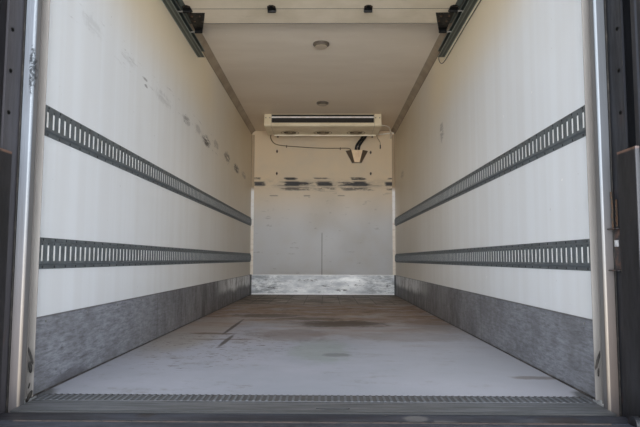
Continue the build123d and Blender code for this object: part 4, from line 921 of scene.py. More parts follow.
# Cream inlet rings round the evaporator's fans, seated on the underside within the guards
INLET_R = 0.094
bpy.ops.mesh.primitive_torus_add(major_radius=(INLET_R + EVAP_BELL_R) / 2,
                                 minor_radius=(EVAP_BELL_R - INLET_R) / 2 + 0.003,
                                 major_segments=56, minor_segments=8)
bpy.context.object.scale = (1, 1, 0.16)
bpy.ops.object.transform_apply()
set_out([(x, EVAP_FAN_Y, evap_low.z) for x in EVAP_FAN_XS])
fasten("evaporator_inlet_rings", housing)

cond_low, cond_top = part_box("condenser_housing")
wire_guard(COND_BELL_R, (0, 1, 0))
set_out([(-COND_FAN_X, cond_top.y, COND_FAN_Z), (COND_FAN_X, cond_top.y, COND_FAN_Z)])
guards = fasten("condenser_wire_guards", plastic)
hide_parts("condenser_fan_guards")

# Nose condenser: white moulded housing over the cab, in two halves with a joint line, with
# angled slats in its louvres and screws along its foot
SLAT_RISES = [-0.085 + 0.034 * n for n in range(6)]
SLAT_TILT = 25
SLAT_L = 0.188
COND_SCREW_XS = (-0.72, -0.36, 0.0, 0.36, 0.72)
COND_SCREW_RISE = 0.105
cond_skin = new_material("condenser_skin", (226, 226, 224), 0.36)
dust = noise(3.5, 4)
colour = tint(span(dust, 0.4, 0.75), (229, 229, 227), (208, 207, 203))
cover(near("Z", cond_low.z + 0.13, 0.0015, 0.004), (110, 110, 108), 0.8)
runs = span(noise(5, 5, 0.7, (5, 5, 0.5)), 0.56, 0.72)
cover(runs, (168, 164, 156), 0.3)
finish_material(cond_skin, colour, (dust, 0.3, 0.48))
dress(["condenser_housing"], cond_skin)

block((-SLAT_L / 2, -0.005, -0.0012), (SLAT_L / 2, 0.005, 0.0012), 0.0005)
bpy.context.object.rotation_euler = (math.radians(SLAT_TILT), 0, 0)
bpy.ops.object.transform_apply()
set_out([(0, cond_top.y - 0.0056, COND_FAN_Z + rise) for rise in SLAT_RISES])
fasten("condenser_slats", plastic)

dome_head(0.009, 0.004, (0, 1, 0))
set_out([(x, cond_top.y, cond_low.z + COND_SCREW_RISE) for x in COND_SCREW_XS])
fasten("condenser_screws", bolt_steel)

# Pipe cover: folded sheet over the hoses' hole, pale on its face and darker on its sloped
# sides, where the darkening is painted shade
cover_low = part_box("pipe_cover")[0]
sheet = new_material("cover_sheet", (200, 172, 140), 0.5, 0.1)
# Painted shade: the sloped sides darker than the face
face = ramp("Y", cover_low.y + 0.002, cover_low.y + 0.006, 1, 0)
stain = noise(16, 4)
colour = tint(face, (104, 90, 76), tint(span(stain, 0.4, 0.7), (255, 228, 190), (240, 206, 168)))
finish_material(sheet, colour)
dress(["pipe_cover"], sheet)


def line(points, radius, sides=10):
    """Smooth tube of that radius along the points, as a mesh, its ends closed."""
    data = bpy.data.curves.new("line", "CURVE")
    data.dimensions = "3D"
    spline = data.splines.new("NURBS")
    spline.points.add(len(points) - 1)
    for point, place in zip(spline.points, points):
        point.co = (*place, 1)
    spline.order_u = 3
    spline.use_endpoint_u = True
    spline.resolution_u = 8
    data.bevel_depth = radius
    data.bevel_resolution = max(1, sides // 2 - 2)
    data.use_fill_caps = True
    piece = bpy.data.objects.new("line", data)
    bpy.context.scene.collection.objects.link(piece)
    bpy.context.view_layer.objects.active = piece
    piece.select_set(True)
    bpy.ops.object.convert(target="MESH")


# Refrigerant hoses: two insulated hoses in black foam from the evaporator down into the pipe
# cover, strapped together
HOSE_X = evap_top.x - 0.123
HOSE_R = 0.018
HOSE_PITCH = 0.046
HOSE_END_X = 0.545
# x, y, drop below the ceiling
HOSE_ROUTE = (
    (HOSE_X, evap_top.y, 0.090), (HOSE_X, 2.880, 0.090), (HOSE_X - 0.012, 2.985, 0.104),
    (HOSE_X - 0.040, 3.085, 0.140), (HOSE_X - 0.085, 3.150, 0.190), (HOSE_END_X, 3.185, 0.250),
    (HOSE_END_X, 3.185, 0.310),
)
foam = mottled("hose_foam", (22, 22, 22), 0.62, 0, (60, 3), (0.45, 0.72), (20, 20, 20),
               (46, 43, 40), bump=(0.001, 0.4))
for shift in (0, -HOSE_PITCH):
    line([(x + shift, y, CEILING_Z - drop) for x, y, drop in HOSE_ROUTE], HOSE_R, 16)
bpy.ops.object.join()
hoses = fasten("foam_hoses", foam)
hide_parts("refrigerant_hoses")

# Two pale plastic ties bind the hoses together on their way down
TIE_R = 0.0022
tie_x = HOSE_END_X + 0.010 - HOSE_PITCH / 2
bpy.ops.mesh.primitive_torus_add(major_radius=1, minor_radius=0.06, major_segments=28,
                                 minor_segments=6)
bpy.context.object.scale = (HOSE_PITCH / 2 + HOSE_R + TIE_R, HOSE_R + TIE_R, 0.05)
bpy.context.object.rotation_euler = (math.radians(-20), math.radians(-24), 0)
bpy.ops.object.transform_apply()
set_out([(tie_x + 0.022, 3.165, CEILING_Z - 0.205), (tie_x, 3.185, CEILING_Z - 0.262)])
fasten("hose_ties", slot_light_and_tie_white)

# Drain pipe: thin plastic pipe that leaves the evaporator's left end, turns back and runs
# along the bulkhead in two clips
DRAIN_X = evap_low.x + 0.155
DRAIN_R = 0.006
DRAIN_ROUTE = (
    (DRAIN_X, evap_top.y, 0.090), (DRAIN_X, 2.820, 0.090), (DRAIN_X - 0.060, 2.900, 0.087),
    (DRAIN_X - 0.120, 2.980, 0.092), (DRAIN_X - 0.160, 3.070, 0.115),
    (DRAIN_X - 0.150, 3.150, 0.160), (DRAIN_X - 0.105, 3.200, 0.210), (DRAIN_X, 3.218, 0.232),
    (-0.360, 3.222, 0.252), (-0.060, 3.222, 0.270), (0.200, 3.222, 0.272), (0.340, 3.220, 0.268),
    (0.400, 3.210, 0.275), (0.420, 3.205, 0.290), (0.420, 3.205, 0.310),
)
pipe_plastic = mottled("drain_plastic", (112, 98, 82), 0.5, 0, (10, 3), (0.35, 0.7), (118, 98, 68),
                       (84, 68, 46))
line([(x, y, CEILING_Z - drop) for x, y, drop in DRAIN_ROUTE], DRAIN_R, 12)
drain = fasten("smooth_drain_pipe", pipe_plastic)
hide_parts("drain_pipe")

CLIP_W = 0.012
CLIP_DEPTH = 0.016
# x, drop below the ceiling
CLIP_PLACES = ((-0.563, 0.236), (0.263, 0.271))
block((-CLIP_W / 2, BULKHEAD_Y - CLIP_DEPTH, -0.026), (CLIP_W / 2, BULKHEAD_Y, 0.012), 0.002)
set_out([(x, 0, CEILING_Z - drop) for x, drop in CLIP_PLACES])
fasten("drain_clips", bolt_steel)

# Conduit: white tube from the evaporator's right end to the corner, and the temperature
# probe that hangs from it on a thin lead against the bulkhead
CONDUIT_ROUTE = (
    (evap_top.x, 2.640, 0.055), (evap_top.x + 0.075, 2.640, 0.055),
    (evap_top.x + 0.125, 2.670, 0.055), (evap_top.x + 0.175, 2.760, 0.058),
    (evap_top.x + 0.210, 2.960, 0.080), (1.030, 3.080, 0.103), (1.035, 3.140, 0.110),
    (1.035, BULKHEAD_Y, 0.110),
)
conduit_plastic = mottled("conduit_plastic", (226, 216, 200), 0.45, 0, (10, 3), (0.35, 0.7),
                          (255, 249, 238), (234, 224, 208))
line([(x, y, CEILING_Z - drop) for x, y, drop in CONDUIT_ROUTE], 0.010, 14)
conduit = fasten("smooth_conduit", conduit_plastic)
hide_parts("conduit")

TAIL_OFF = 0.012
# x, drop below the ceiling
TAIL_ROUTE = ((0.800, 0.062), (0.900, 0.052), (1.000, 0.040), (1.088, 0.034))
line([(x, BULKHEAD_Y - TAIL_OFF, CEILING_Z - drop) for x, drop in TAIL_ROUTE], 0.009, 10)
fasten("conduit_tail", conduit_plastic)

PROBE_X = 0.877
PROBE_Z = FLOOR_Z + 2.262
PROBE_R = 0.008
PROBE_L = 0.062
PROBE_RINGS = 4
PROBE_RING_PITCH = 0.007
bpy.ops.mesh.primitive_cylinder_add(vertices=16, radius=PROBE_R, depth=PROBE_L)
open_mesh()
bpy.ops.mesh.bevel(offset=0.0035, segments=3, affect="EDGES")
for ring in range(PROBE_RINGS):
    bpy.ops.mesh.primitive_torus_add(major_radius=0.0075, minor_radius=0.0018, major_segments=16,
                                     minor_segments=6,
                                     location=(0, 0, 0.024 - PROBE_RING_PITCH * ring))
close_mesh()
put((PROBE_X, BULKHEAD_Y - TAIL_OFF, PROBE_Z))
fasten("temperature_probe", plastic)
line([(0.770, evap_top.y, evap_low.z + 0.030), (0.800, 2.960, evap_low.z + 0.020),
      (0.862, 3.180, evap_low.z + 0.010), (0.880, BULKHEAD_Y - 0.008, evap_low.z - 0.020),
      (PROBE_X, BULKHEAD_Y - 0.010, PROBE_Z + 0.035)], 0.0025, 8)
fasten("probe_lead", pipe_plastic)

# Overhead door: cream sandwich sections with fine cross ribs pressed in the skin, zinc end
# stiles, and rubber strips in the joints
DOOR_SECTIONS = [f"door_section_{n}" for n in range(1, 6)]
door_skin = new_material("door_skin", (222, 210, 188), 0.42)
cloud = noise(2.4, 4)
colour = tint(span(cloud, 0.35, 0.7), (224, 210, 188), (207, 193, 168))
smudge = span(noise(6, 5, 0.7, (1, 4, 1)), 0.62, 0.72)
cover(smudge, (150, 138, 118), 0.35)
finish_material(door_skin, colour, None, waves("Y", 7.0), 0.001, 0.25)
dress(DOOR_SECTIONS, door_skin)

rubber = mottled("black_rubber", (26, 25, 25), 0.6, 0, (25, 4), (0.45, 0.75), (24, 23, 23),
                 (62, 58, 53), bump=(0.001, 0.3))

door_boxes = [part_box(name) for name in DOOR_SECTIONS]
DOOR_X = door_boxes[0][1].x
DOOR_LOW = door_boxes[0][0].z
DOOR_LEAD_Y = door_boxes[0][1].y
JOINT_STRIP_T = 0.0018
TOP_SEAL_T = 0.012
TOP_SEAL_H = 0.036
seam_ys = [(ahead[0].y + behind[1].y) / 2 for ahead, behind in zip(door_boxes, door_boxes[1:])]
block((-DOOR_X, -JOINT_STRIP_T / 2, DOOR_LOW - 0.002),
      (DOOR_X, JOINT_STRIP_T / 2, DOOR_LOW + 0.034), 0.0004)
set_out([(0, y, 0) for y in seam_ys[:3]])
fasten("door_joint_strips", rubber)

block((-DOOR_X, DOOR_LEAD_Y, DOOR_LOW),
      (DOOR_X, DOOR_LEAD_Y + TOP_SEAL_T, DOOR_LOW + TOP_SEAL_H), 0.005, 3)
fasten("door_top_seal", rubber)

LEG_FRONT_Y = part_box("rear_right_post")[1].y + 0.060
# how far in from the wall, half-width, colour of the painted highlights and painted shade lines
# along the track's folds
TRACK_FOLD_LIGHT_AND_SHADE = (
    (0.003, 0.0015, (168, 176, 170)), (0.020, 0.0040, (40, 45, 41)),
    (0.034, 0.0015, (128, 136, 130)), (0.050, 0.0050, (46, 52, 48)),
    (0.062, 0.0015, (150, 158, 152)),
)
track_zinc = new_material("track_zinc", (88, 98, 92), 0.45, 0.15)
spangle = noise(6, 5, 0.6, (8, 1, 8))
colour = tint(span(spangle, 0.35, 0.65), (62, 71, 66), (86, 94, 88))
for inset, half_w, mark in TRACK_FOLD_LIGHT_AND_SHADE:
    away = combine("ABSOLUTE", combine("SUBTRACT", distance("X"), WALL_X - inset), 0)
    cover(span(away, half_w, 2 * half_w, 1, 0), mark, 0.7)
leg = ramp("Y", LEG_FRONT_Y + 0.004, LEG_FRONT_Y)
toward_wall = ramp("Y", LEG_FRONT_Y - 0.056, LEG_FRONT_Y)
streaks = span(noise(8, 4, 0.6, (1, 1, 0.3)), 0.35, 0.7)
plain = tint(toward_wall, (126, 124, 123), (166, 163, 161))
plain = tint(streaks, plain, (112, 106, 102), 0.3)
cover(leg, plain)
finish_material(track_zinc, colour, (spangle, 0.34, 0.55))

STILE_W = 0.045
STILE_T = 0.0012
for number, name in enumerate(DOOR_SECTIONS, 1):
    stile = twin_of(nodes[name])
    stile.parent = None
    stile.matrix_world = nodes[name].matrix_world
    bpy.context.view_layer.objects.active = stile
    open_mesh()
    bpy.ops.mesh.remove_doubles(threshold=0.00001)
    bpy.ops.mesh.bisect(plane_co=(DOOR_X - STILE_W, 0, 0), plane_no=(1, 0, 0), use_fill=True,
                        clear_inner=True)
    bpy.ops.mesh.select_all(action="SELECT")
    bpy.ops.mesh.normals_make_consistent(inside=False)
    bpy.ops.transform.shrink_fatten(value=STILE_T)
    close_mesh()
    both_sides()
    fasten(f"door_stiles_{number}", track_zinc)

iron = mottled("black_iron", (12, 12, 11), 0.5, 0, (35, 4), (0.6, 0.72), (9, 9, 9), (26, 25, 24),
               gloss=(0.3, 0.5))
tree.nodes["Principled BSDF"].inputs["Specular IOR Level"].default_value = 0.2
dress(["door_hinges", "top_brackets"], iron)

HINGE_XS = (-0.980, -0.355, 0.355, 0.980)
HINGE_BOLT_X = 0.018
HINGE_BOLT_Y = 0.045
LEAF_T = 0.005
BRACKET_BOLT_INSETS = (0.050, 0.110)
BRACKET_BOLT_SETBACKS = (0.050, 0.140)
dome_head(0.006, 0.004, (0, 0, -1))
set_out([(hinge_x + side, seam_y + way, DOOR_LOW - LEAF_T) for seam_y in seam_ys[:3]
         for hinge_x in HINGE_XS for side in (-HINGE_BOLT_X, HINGE_BOLT_X)
         for way in (-HINGE_BOLT_Y, HINGE_BOLT_Y)])
fasten("hinge_bolts", bolt_steel)

bolt_head(0.014, 0.006, (0, 0, -1))
set_out([(side * (DOOR_X - inset), DOOR_LEAD_Y - setback, DOOR_LOW - LEAF_T) for side in (-1, 1)
         for inset in BRACKET_BOLT_INSETS for setback in BRACKET_BOLT_SETBACKS])
fasten("bracket_bolts", bolt_steel)

nylon = mottled("roller_nylon", (128, 124, 116), 0.5, 0, (20, 3), (0.35, 0.7), (134, 130, 122),
                (96, 92, 86))
dress(["door_rollers"], nylon)

# Door tracks: zinc-coated channels screwed to the walls; a thin steel cable runs along the
# right one and loops round its front end
TRACK_LINE_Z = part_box("right_door_track")[1].z - 0.028
TRACK_SCREW_START = -2.70
TRACK_SCREW_PITCH = 0.300
TRACK_SCREWS = 8
dress(["left_door_track", "right_door_track", "counterbalance"], track_zinc)

dome_head(0.006, 0.003, (-1, 0, 0))
put((WALL_X - RAIL_FLANGE_T, TRACK_SCREW_START, TRACK_LINE_Z))
row(TRACK_SCREWS, (0, TRACK_SCREW_PITCH, 0))
both_sides()
fasten("track_screws", rivet_alloy)

CABLE_X = WALL_X - 0.004
CABLE_R = 0.003
# x, y, drop below the line of the track
CABLE_ROUTE = (
    (CABLE_X, -2.860, 0.062), (CABLE_X, -2.400, 0.064), (CABLE_X, -1.800, 0.066),
    (CABLE_X, -1.200, 0.062), (CABLE_X, -0.750, 0.066), (CABLE_X, -0.560, 0.068),
    (CABLE_X - 0.004, -0.430, 0.072), (CABLE_X - 0.012, -0.370, 0.060),
    (CABLE_X - 0.028, -0.360, 0.036), (CABLE_X - 0.042, -0.400, 0.012),
    (CABLE_X - 0.050, -0.520, 0.000),
)
line([(x, y, TRACK_LINE_Z - drop) for x, y, drop in CABLE_ROUTE], CABLE_R, 8)
fasten("track_cable", rubber)

# Counterbalance: two torsion springs wound on the shaft above the door, one on each side of
# its middle
SPRING_R = 0.030
SPRING_WIRE_R = 0.0032
SPRING_TURNS = 78
SPRING_START = 0.062
SPRING_L = 0.556
SHAFT_Y = -2.960
SHAFT_Z = CEILING_Z - 0.044
bpy.ops.mesh.primitive_circle_add(vertices=6, radius=SPRING_WIRE_R,
                                  location=(SPRING_START, 0, SPRING_R),
                                  rotation=(math.radians(90), 0, math.radians(90)))
bpy.ops.object.transform_apply()
screw = bpy.context.object.modifiers.new("turns", "SCREW")
screw.axis = "X"
screw.steps = 14
screw.render_steps = 14
screw.iterations = SPRING_TURNS
screw.screw_offset = SPRING_L / SPRING_TURNS
screw.use_normal_calculate = True
bpy.ops.object.modifier_apply(modifier=screw.name)
put((0, SHAFT_Y, SHAFT_Z))
both_sides()
fasten("counterbalance_springs", iron)

# Rear frame: brushed stainless posts and header, bluish with the sky and stained, with a
# painted highlight on their rounded inner edges, a painted warm reflection low down, painted
# shade on their inner returns and over the right post, and a dark patch painted on the left
# one where it is dented, partly the dent's shade and partly rubbed marks
post_low, post_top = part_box("rear_right_post")
POST_IN = post_low.x
REAR_FACE_Y = post_low.y
steel = new_material("stainless_steel", (150, 157, 166), 0.5, 0.15)
brushed = noise(3, 6, 0.7, (60, 60, 1.2))
stains = noise(2.5, 6, 0.7, (5, 5, 0.8))
colour = tint(span(brushed, 0.35, 0.65), (134, 141, 152), (120, 126, 136))
# Painted shade: the right post darker, from how the light falls
right_post_shade = ramp("X", 0, 0.1)
cover(right_post_shade, (80, 82, 86), 0.75)
cover(span(stains, 0.5, 0.75), (96, 94, 92), 0.35)
# Painted reflection: a warm tone low down on the posts
warm_reflection = span(combine("ADD", along("Z"), both(stains, 0.5)), FLOOR_Z + 1.25, FLOOR_Z + 0.35)
cover(warm_reflection, (128, 108, 92), 0.5)
# Painted highlight: the rounded inner rear edge lit pale
inner_edge_highlight = both(near("X", 0, POST_IN + 0.006, POST_IN + 0.009),
              ramp("Y", REAR_FACE_Y + 0.012, REAR_FACE_Y + 0.004))
cover(inner_edge_highlight, tint(warm_reflection, (152, 160, 170), (166, 154, 142)))
# Painted shade on the inner return faces
inner_return_shade = both(near("X", 0, POST_IN + 0.001, POST_IN + 0.003),
              ramp("Y", REAR_FACE_Y + 0.010, REAR_FACE_Y + 0.016))
cover(inner_return_shade, tint(span(stains, 0.4, 0.7), (116, 116, 118), (100, 98, 95)), 0.9)
foot = ramp("Z", FLOOR_Z + 0.10, FLOOR_Z - 0.02)
cover(foot, (62, 66, 76), 0.45)
# Dark patch where the left post is dented: painted shade of the dent and dark rubbed marks, with
# bright specks
dent_shade_and_rub = blot((-POST_IN - 0.006, REAR_FACE_Y, FLOOR_Z + 1.262), (0.013, 0.04, 0.112), 0.8, 60)
cover(dent_shade_and_rub, tint(span(noise(90, 3), 0.5, 0.6), (44, 50, 57), (140, 148, 158)), 0.9)
finish_material(steel, colour, (brushed, 0.42, 0.56), brushed, 0.0004, 0.25)
dress(["rear_left_post", "rear_right_post", "rear_header"], steel)

COLUMN_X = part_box("lift_right_column")[0].x
# Black strips in the gaps between the posts and the columns, standing in for the shadow there: a
# painted shadow
GAP_STRIP_W = 0.006
GAP_STRIP_DEPTH = 0.010
block((COLUMN_X - GAP_STRIP_W, REAR_FACE_Y - GAP_STRIP_DEPTH, FLOOR_Z - 0.16),
      (COLUMN_X, REAR_FACE_Y, CEILING_Z - 0.210), 0.002)
both_sides()
fasten("column_gap_shadow_strips", rubber)

# Torn bits of the old door seal still hang on the tracks' legs beside the posts
# side, height above the floor, half-height, how far it hangs out
TORN_BITS = ((-1, 0.170, 0.034, 0.009), (-1, 0.128, 0.022, 0.012), (-1, 0.020, 0.026, 0.013),
             (1, 0.165, 0.036, 0.009), (1, 0.120, 0.016, 0.006), (-1, 0.060, 0.012, 0.005))
bpy.ops.mesh.primitive_ico_sphere_add(subdivisions=3, radius=1)
bpy.context.object.scale = (0.5, 0.45, 1)
bpy.ops.object.transform_apply()
open_mesh()
bpy.ops.transform.vertex_random(offset=0.13, uniform=0.6, normal=0.0, seed=4)
close_mesh()
places, sizes, turns = [], [], []
for side, rise, half_h, reach in TORN_BITS:
    places.append((side * (POST_IN - reach / 5), post_top.y + 0.022, FLOOR_Z + rise))
    sizes.append((side * reach, reach, half_h))
    turns.append((0.10, side * (5 * rise - 0.6), 0.4 * rise))
set_out(places, sizes, turns)
bpy.ops.object.transform_apply()
open_mesh()
bpy.ops.mesh.normals_make_consistent(inside=False)
close_mesh()
fasten("torn_seal_bits", rubber)

# Sill: worn steel plate across the doorway; ribbed aluminium threshold ahead of it, with
# painted shade between its ribs and along its front edge
sill_low, sill_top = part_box("rear_sill")
sill_steel = new_material("sill_steel", (104, 109, 112), 0.45, 0.3)
wear = noise(5, 7, 0.7, (0.8, 8, 1))
colour = tint(span(wear, 0.35, 0.7), (118, 122, 129), (87, 90, 95))
scores = span(noise(4, 5, 0.7, (0.6, 40, 1)), 0.6, 0.7)
cover(scores, (150, 153, 158), 0.5)
face = ramp("Z", FLOOR_Z - 0.0006, FLOOR_Z - 0.0002, 1, 0)
cover(face, (62, 63, 66), 0.85)
fine = combine("ADD", near("Y", sill_top.y - 0.098, 0.003, 0.006),
               near("Y", sill_top.y - 0.160, 0.001, 0.003))
nose = ramp("Y", sill_low.y + 0.010, sill_low.y + 0.006)
cover(combine("ADD", fine, nose), (58, 60, 62), 0.6)
ends = both(span(distance("X"), 1.00, 1.05), ramp("Y", sill_top.y - 0.12, sill_top.y - 0.09))
cover(ends, (52, 54, 56), 0.8)
finish_material(sill_steel, colour, (wear, 0.38, 0.6), wear, 0.0006, 0.3)
dress(["rear_sill"], sill_steel)

ribbed = new_material("ribbed_strip", (88, 90, 92), 0.5, 0.3)
wear = noise(14, 6, 0.7)
# Painted shade: the rib tops lighter than the grooves between them
rise = ramp("Z", FLOOR_Z + 0.0025, FLOOR_Z + 0.0038)
colour = tint(rise, (92, 95, 101), (122, 128, 136))
# Painted shade: dark along the threshold's front edge, in the gap before the floor
threshold_gap_shade = ramp("Y", FLOOR_REAR_Y - 0.016, FLOOR_REAR_Y - 0.006)
cover(threshold_gap_shade, (46, 48, 54), 0.8)
cover(span(wear, 0.45, 0.7), (92, 91, 92), 0.5)
finish_material(ribbed, colour)
dress(["threshold"], ribbed)

# Outside trim: mill-finish aluminium rails and corners, riveted to the panels every 150 mm
trim = mottled("trim_aluminium", (178, 180, 182), 0.38, 0.6, (2, 5, 0.6, (40, 1, 40)), (0.35, 0.65),
               (186, 188, 190), (164, 166, 169), gloss=(0.3, 0.46))
dress(["base_rails", "roof_rails", "front_corners"], trim)

TRIM_RIVET_PITCH = 0.15
TRIM_RIVET_INSET = 0.018
CORNER_RIVET_INSET = 0.015
TRIM_RIVET_START = TRIM_RIVET_PITCH / 2
base_low, base_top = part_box("base_rails")
roof_low, roof_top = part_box("roof_rails")
corner_low, corner_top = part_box("front_corners")
along_rail = (int((base_top.y - base_low.y) / TRIM_RIVET_PITCH), (0, TRIM_RIVET_PITCH, 0))
up_corner = (int((corner_top.z - corner_low.z) / TRIM_RIVET_PITCH), (0, 0, TRIM_RIVET_PITCH))
base_start = (base_top.x, base_low.y + TRIM_RIVET_START, base_top.z - TRIM_RIVET_INSET)
roof_start = (roof_top.x, roof_low.y + TRIM_RIVET_START, roof_low.z + TRIM_RIVET_INSET)
corner_start = (corner_top.x, corner_low.y + CORNER_RIVET_INSET, corner_low.z + TRIM_RIVET_START)
for name, start, run in (("base_rail_rivets", base_start, along_rail),
                         ("roof_rail_rivets", roof_start, along_rail),
                         ("corner_rivets", corner_start, up_corner)):
    dome_head(0.0075, 0.003, (1, 0, 0))
    put(start)
    row(*run)
    both_sides()
    fasten(name, rivet_alloy)

# Subframe, bearers and brackets under the floor: satin black steel, dulled in patches by pale
# road dust
black = mottled("chassis_black", (44, 45, 47), 0.5, 0, (3, 6, 0.65), (0.45, 0.75), (44, 45, 47),
                (82, 77, 70), gloss=(0.4, 0.75))
dress(["subframe_rails", "subframe_ties", "cross_bearers", "chassis_brackets"], black)

# Lamps: moulded lenses in black surrounds, ribbed inside; the rear clusters are in three
# parts, red, amber and clear
lamp_low, lamp_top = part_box("rear_lamps")
LAMP_X = 0.860
LAMP_W = 0.320
LAMP_H = 0.090
LAMP_RIM = 0.010
LAMP_LIP = 0.008
LAMP_SHOWS = 0.012
AMBER_START = 0.060
lamp = new_material("lamp_lens", (150, 16, 14), 0.18)
facets = waves("X", 30)
reach = distance("X")
colour = tint(facets, (168, 18, 15), (120, 10, 9))
cover(span(reach, LAMP_X - AMBER_START - 0.001, LAMP_X - AMBER_START + 0.001, 1, 0),
      tint(facets, (214, 214, 210), (176, 176, 172)))
cover(span(reach, LAMP_X + AMBER_START - 0.001, LAMP_X + AMBER_START + 0.001),
      tint(facets, (214, 112, 18), (178, 84, 10)))
upper = ramp("Z", FLOOR_Z + 1.0, FLOOR_Z + 1.1)
cover(upper, (158, 16, 13))
finish_material(lamp, colour, None, facets, 0.001, 0.3)
dress(["rear_lamps"], lamp)

block((LAMP_X - LAMP_W / 2 - LAMP_RIM, lamp_low.y + LAMP_SHOWS, lamp_low.z - LAMP_LIP),
      (LAMP_X + LAMP_W / 2 + LAMP_RIM, lamp_top.y, lamp_low.z + LAMP_H + LAMP_LIP), 0.006, 2)
both_sides()
fasten("lamp_surrounds", plastic)

amber = new_material("amber_lens", (206, 104, 14), 0.2)
facets = waves("Y", 34)
colour = tint(facets, (220, 118, 20), (176, 80, 8))
finish_material(amber, colour, None, facets, 0.001, 0.3)
dress(["side_markers"], amber)

MARKER_YS = (-2.6, 0.0, 2.6)
MARKER_L = 0.116
MARKER_H = 0.052
MARKER_RIM_T = 0.007
marker_low, marker_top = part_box("side_markers")
marker_z = (marker_low.z + marker_top.z) / 2
block((base_top.x, -MARKER_L / 2, marker_z - MARKER_H / 2),
      (base_top.x + MARKER_RIM_T, MARKER_L / 2, marker_z + MARKER_H / 2), 0.003, 2)
set_out([(0, y, 0) for y in MARKER_YS])
both_sides()
fasten("marker_surrounds", plastic)

# Tail lift columns: dark slate paint, scratched, with a painted highlight along the inner
# rear edge and painted light on the left one, bolt heads down the inner face and rust at the foot
column_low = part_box("lift_right_column")[0]
slate = new_material("lift_slate", (58, 62, 71), 0.45, 0.15)
wear = noise(3, 6, 0.7, (9, 9, 1.2))
rust = noise(7, 7, 0.7, (1, 1, 0.5))
colour = tint(span(wear, 0.35, 0.7), (44, 46, 53), (30, 31, 36))
# Painted light: the left column lighter, from how the light falls
cover(ramp("X", 0, -0.1), (90, 88, 94), 0.6)
low_zone = ramp("Z", FLOOR_Z + 1.0, FLOOR_Z - 0.1, 0.25, 0.9)
cover(both(span(rust, 0.56, 0.7), low_zone), (88, 62, 52))
# Painted highlight along the columns' inner rear edge
column_edge_highlight = both(near("Y", column_low.y + 0.030, 0.005, 0.009), 0.7)
cover(column_edge_highlight, (78, 84, 98))
finish_material(slate, colour, (wear, 0.36, 0.6), wear, 0.0008, 0.3)
dress(["lift_left_column", "lift_right_column"], slate)

COLUMN_BOLTS = 15
COLUMN_BOLT_PITCH = 0.156
COLUMN_BOLT_START = 0.135
COLUMN_BOLT_BACK = 0.081
bolt_head(0.011, 0.005, (-1, 0, 0))
set_out([(COLUMN_X, REAR_FACE_Y - COLUMN_BOLT_BACK,
          FLOOR_Z + COLUMN_BOLT_START + COLUMN_BOLT_PITCH * n) for n in range(COLUMN_BOLTS)])
both_sides()
fasten("column_bolts", iron)

# Lift runners and beam: black paint on the runners and slate on the beam, scraped and rusty
# where loads have passed
runner_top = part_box("lift_right_runner")[1]
RUNNER_REAR_Y = -3.456
lift_black = new_material("lift_black", (38, 38, 42), 0.42, 0.1)
wear = noise(3, 6, 0.7, (6, 6, 1.5))
rust = noise(14, 7, 0.7)
colour = tint(span(wear, 0.35, 0.7), (36, 36, 41), (26, 26, 29))
top_edge = ramp("Z", runner_top.z - 0.012, runner_top.z - 0.004)
cover(both(top_edge, span(rust, 0.35, 0.55)), (118, 92, 80))
# Painted highlight along the runners' rear edge
runner_edge_highlight = near("Y", RUNNER_REAR_Y, 0.003, 0.006)
cover(runner_edge_highlight, (96, 98, 104), 0.5)
cover(span(rust, 0.66, 0.72), (110, 66, 48), 0.7)
finish_material(lift_black, colour, (wear, 0.34, 0.55))
dress(["lift_left_runner", "lift_right_runner"], lift_black)

beam_low, beam_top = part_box("lift_beam")
# x, y, half-width, half-length, strength, colour
BEAM_MARKS = (
    (0.36, -3.36, 0.05, 0.05, 0.6, (136, 136, 138)),
    (0.45, -3.40, 0.05, 0.03, 0.6, (128, 126, 128)),
    (0.86, -3.37, 0.10, 0.05, 0.8, (48, 40, 38)),
    (-0.58, -3.33, 0.04, 0.05, 0.8, (44, 38, 36)),
    (-0.95, -3.37, 0.30, 0.12, 0.6, (38, 36, 38)),
)
beam_paint = new_material("beam_paint", (70, 72, 79), 0.5, 0.15)
wear = noise(3, 7, 0.72, (1.2, 5, 1))
colour = tint(span(wear, 0.35, 0.68), (62, 67, 81), (43, 46, 56))
polish = span(noise(2.5, 6, 0.7, (1, 3, 1)), 0.56, 0.68)
cover(polish, (96, 99, 106), 0.4)
rust = span(noise(11, 7, 0.75), 0.62, 0.68)
cover(rust, (78, 60, 54), 0.45)
for x, y, half_w, half_l, strength, mark in BEAM_MARKS:
    patch = blot((x, y, beam_top.z), (half_w, half_l, 0.3), 0.7, 22)
    cover(patch, mark, strength)
finish_material(beam_paint, colour, (wear, 0.4, 0.6), wear, 0.0008, 0.3)
dress(["lift_beam"], beam_paint)

# Latch bracket on the right post: two rusty shelves, with a thin rod and its chain hooked
# above them and a small blank tag
latch_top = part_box("latch_bracket")[1]
# in from the column, back from the post's face, height above the bracket
ROD_ROUTE = (
    (0.012, 0.012, 0.135), (0.009, 0.014, 0.090), (0.013, 0.016, 0.040), (0.012, 0.020, -0.006),
)
latch_paint = mottled("latch_paint", (52, 50, 52), 0.5, 0.15, (22, 6, 0.75), (0.45, 0.6),
                      (50, 49, 52), (100, 80, 72), gloss=(0.4, 0.75))
dress(["latch_bracket"], latch_paint)

line([(COLUMN_X - inset, REAR_FACE_Y - back, latch_top.z + rise)
      for inset, back, rise in ROD_ROUTE], 0.0035, 8)
fasten("latch_rod", bolt_steel)

